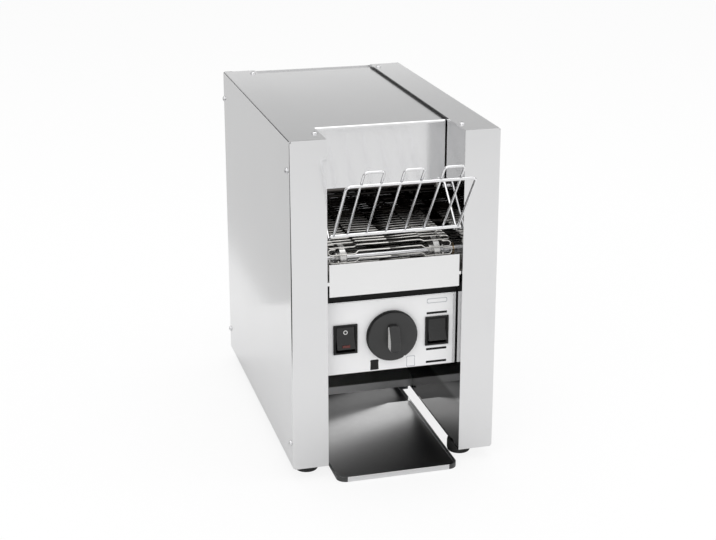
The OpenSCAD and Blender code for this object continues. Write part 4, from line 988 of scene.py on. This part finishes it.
floor_links.new(floor_mix.outputs["Shader"], floor_nodes["Material Output"].inputs["Surface"])
floor.data.materials.append(floor_material)

world = bpy.data.worlds.new("studio_world")
bpy.context.scene.world = world
world.use_nodes = True
sky_nodes, sky_links = world.node_tree.nodes, world.node_tree.links
soft_light = sky_nodes["Background"]
soft_light.inputs["Color"].default_value = (1, 1, 1, 1)
soft_light.inputs["Strength"].default_value = 0.85
white_wall = sky_nodes.new("ShaderNodeBackground")
white_wall.inputs["Color"].default_value = (1, 1, 1, 1)
white_wall.inputs["Strength"].default_value = 1.0
world_rays = sky_nodes.new("ShaderNodeLightPath")
camera_or_gloss = sky_nodes.new("ShaderNodeMath")
camera_or_gloss.operation = "MAXIMUM"
or_glass = sky_nodes.new("ShaderNodeMath")
or_glass.operation = "MAXIMUM"
world_mix = sky_nodes.new("ShaderNodeMixShader")
sky_links.new(world_rays.outputs["Is Camera Ray"], camera_or_gloss.inputs[0])
sky_links.new(world_rays.outputs["Is Glossy Ray"], camera_or_gloss.inputs[1])
sky_links.new(camera_or_gloss.outputs[0], or_glass.inputs[0])
sky_links.new(world_rays.outputs["Is Transmission Ray"], or_glass.inputs[1])
sky_links.new(or_glass.outputs[0], world_mix.inputs["Fac"])
sky_links.new(soft_light.outputs["Background"], world_mix.inputs[1])
sky_links.new(white_wall.outputs["Background"], world_mix.inputs[2])
sky_links.new(world_mix.outputs["Shader"], sky_nodes["World Output"].inputs["Surface"])


def area_lamp(name, where, size, brightness):
    """A rectangular lamp; brightness 1 is a white card."""
    data = bpy.data.lights.new(name, "AREA")
    data.shape = "RECTANGLE"
    data.size, data.size_y = size
    data.energy = brightness * math.pi * size[0] * size[1]
    lamp = add_object(name, data)
    lamp.location = where
    return lamp


def soft_lamp(name, where, size, brightness):
    """A large lamp aimed at the middle of the toaster."""
    lamp = area_lamp(name, where, size, brightness)
    lamp.rotation_mode = "QUATERNION"
    lamp.rotation_quaternion = (Vector((0, 0, 0.2)) - Vector(where)).to_track_quat("-Z", "Y")


soft_lamp("lamp_left_front", (-1.9, -1.9, 2.0), (1.6, 1.6), 1.6)
soft_lamp("lamp_right", (2.3, -0.9, 1.5), (1.4, 1.4), 0.9)
soft_lamp("lamp_above", (0.1, 0.2, 2.6), (2.0, 2.0), 1.3)


def card(name, corners, brightness):
    """A card with four corners in metres that only shows in reflections; brightness 1 is white."""
    mesh = bpy.data.meshes.new(name)
    mesh.from_pydata(corners, [], [(0, 1, 2, 3)])
    material = bpy.data.materials.new(name)
    material.use_nodes = True
    nodes, links = material.node_tree.nodes, material.node_tree.links
    shine = nodes.new("ShaderNodeEmission")
    shine.inputs["Strength"].default_value = brightness
    links.new(shine.outputs["Emission"], nodes["Material Output"].inputs["Surface"])
    mesh.materials.append(material)
    piece = add_object(name, mesh)
    piece.visible_camera = False
    piece.visible_diffuse = False
    piece.visible_shadow = False
    return piece


def upright_card(name, start, end, low, high, brightness):
    """A card standing on the line between two places on the floor, given as x and y."""
    return card(name, [(*start, low), (*end, low), (*end, high), (*start, high)], brightness)


def flat_card(name, near, far, brightness, height=0.02):
    """A card lying just above the floor between two opposite corners, given as x and y."""
    corners = [(near[0], near[1], height), (near[0], far[1], height),
               (far[0], far[1], height), (far[0], near[1], height)]
    return card(name, corners, brightness)


upright_card("card_left", (-2.6, -1.4), (-2.2, -0.5), 0.0, 2.0, 0.05)
upright_card("card_right", (2.4, -0.3), (2.8, 0.9), 0.0, 2.0, 0.05)
upright_card("card_behind", (-1.6, 3.0), (3.4, 3.0), 1.0, 2.4, 0.58)
upright_card("card_behind_left", (-2.4, 2.8), (-0.55, 2.8), 0.5, 2.0, 0.08)
flat_card("card_floor_dark", (-0.42, -0.75), (-2.0, 0.1), 0.05)
flat_card("card_floor_left", (-0.2, 0.35), (-1.5, 2.8), 0.71)

TRAY_LAMP_SIZE = (0.140, 0.034)
tray_only = bpy.data.collections.new("lit_by_tray_lamps")
tray_only.objects.link(bpy.data.objects["toast_tray_soft"])
for name, where, brightness in (("tray_lamp_front", place(10, 177, 13), 3.2),
                                ("tray_lamp_back", place(6, 243, 16), 1.1)):
    lamp = area_lamp(name, where, TRAY_LAMP_SIZE, brightness)
    lamp.rotation_euler = (math.radians(-90), math.radians(14), 0)
    lamp.visible_camera = False
    lamp.light_linking.receiver_collection = tray_only
bpy.context.scene.view_settings.view_transform = "Standard"
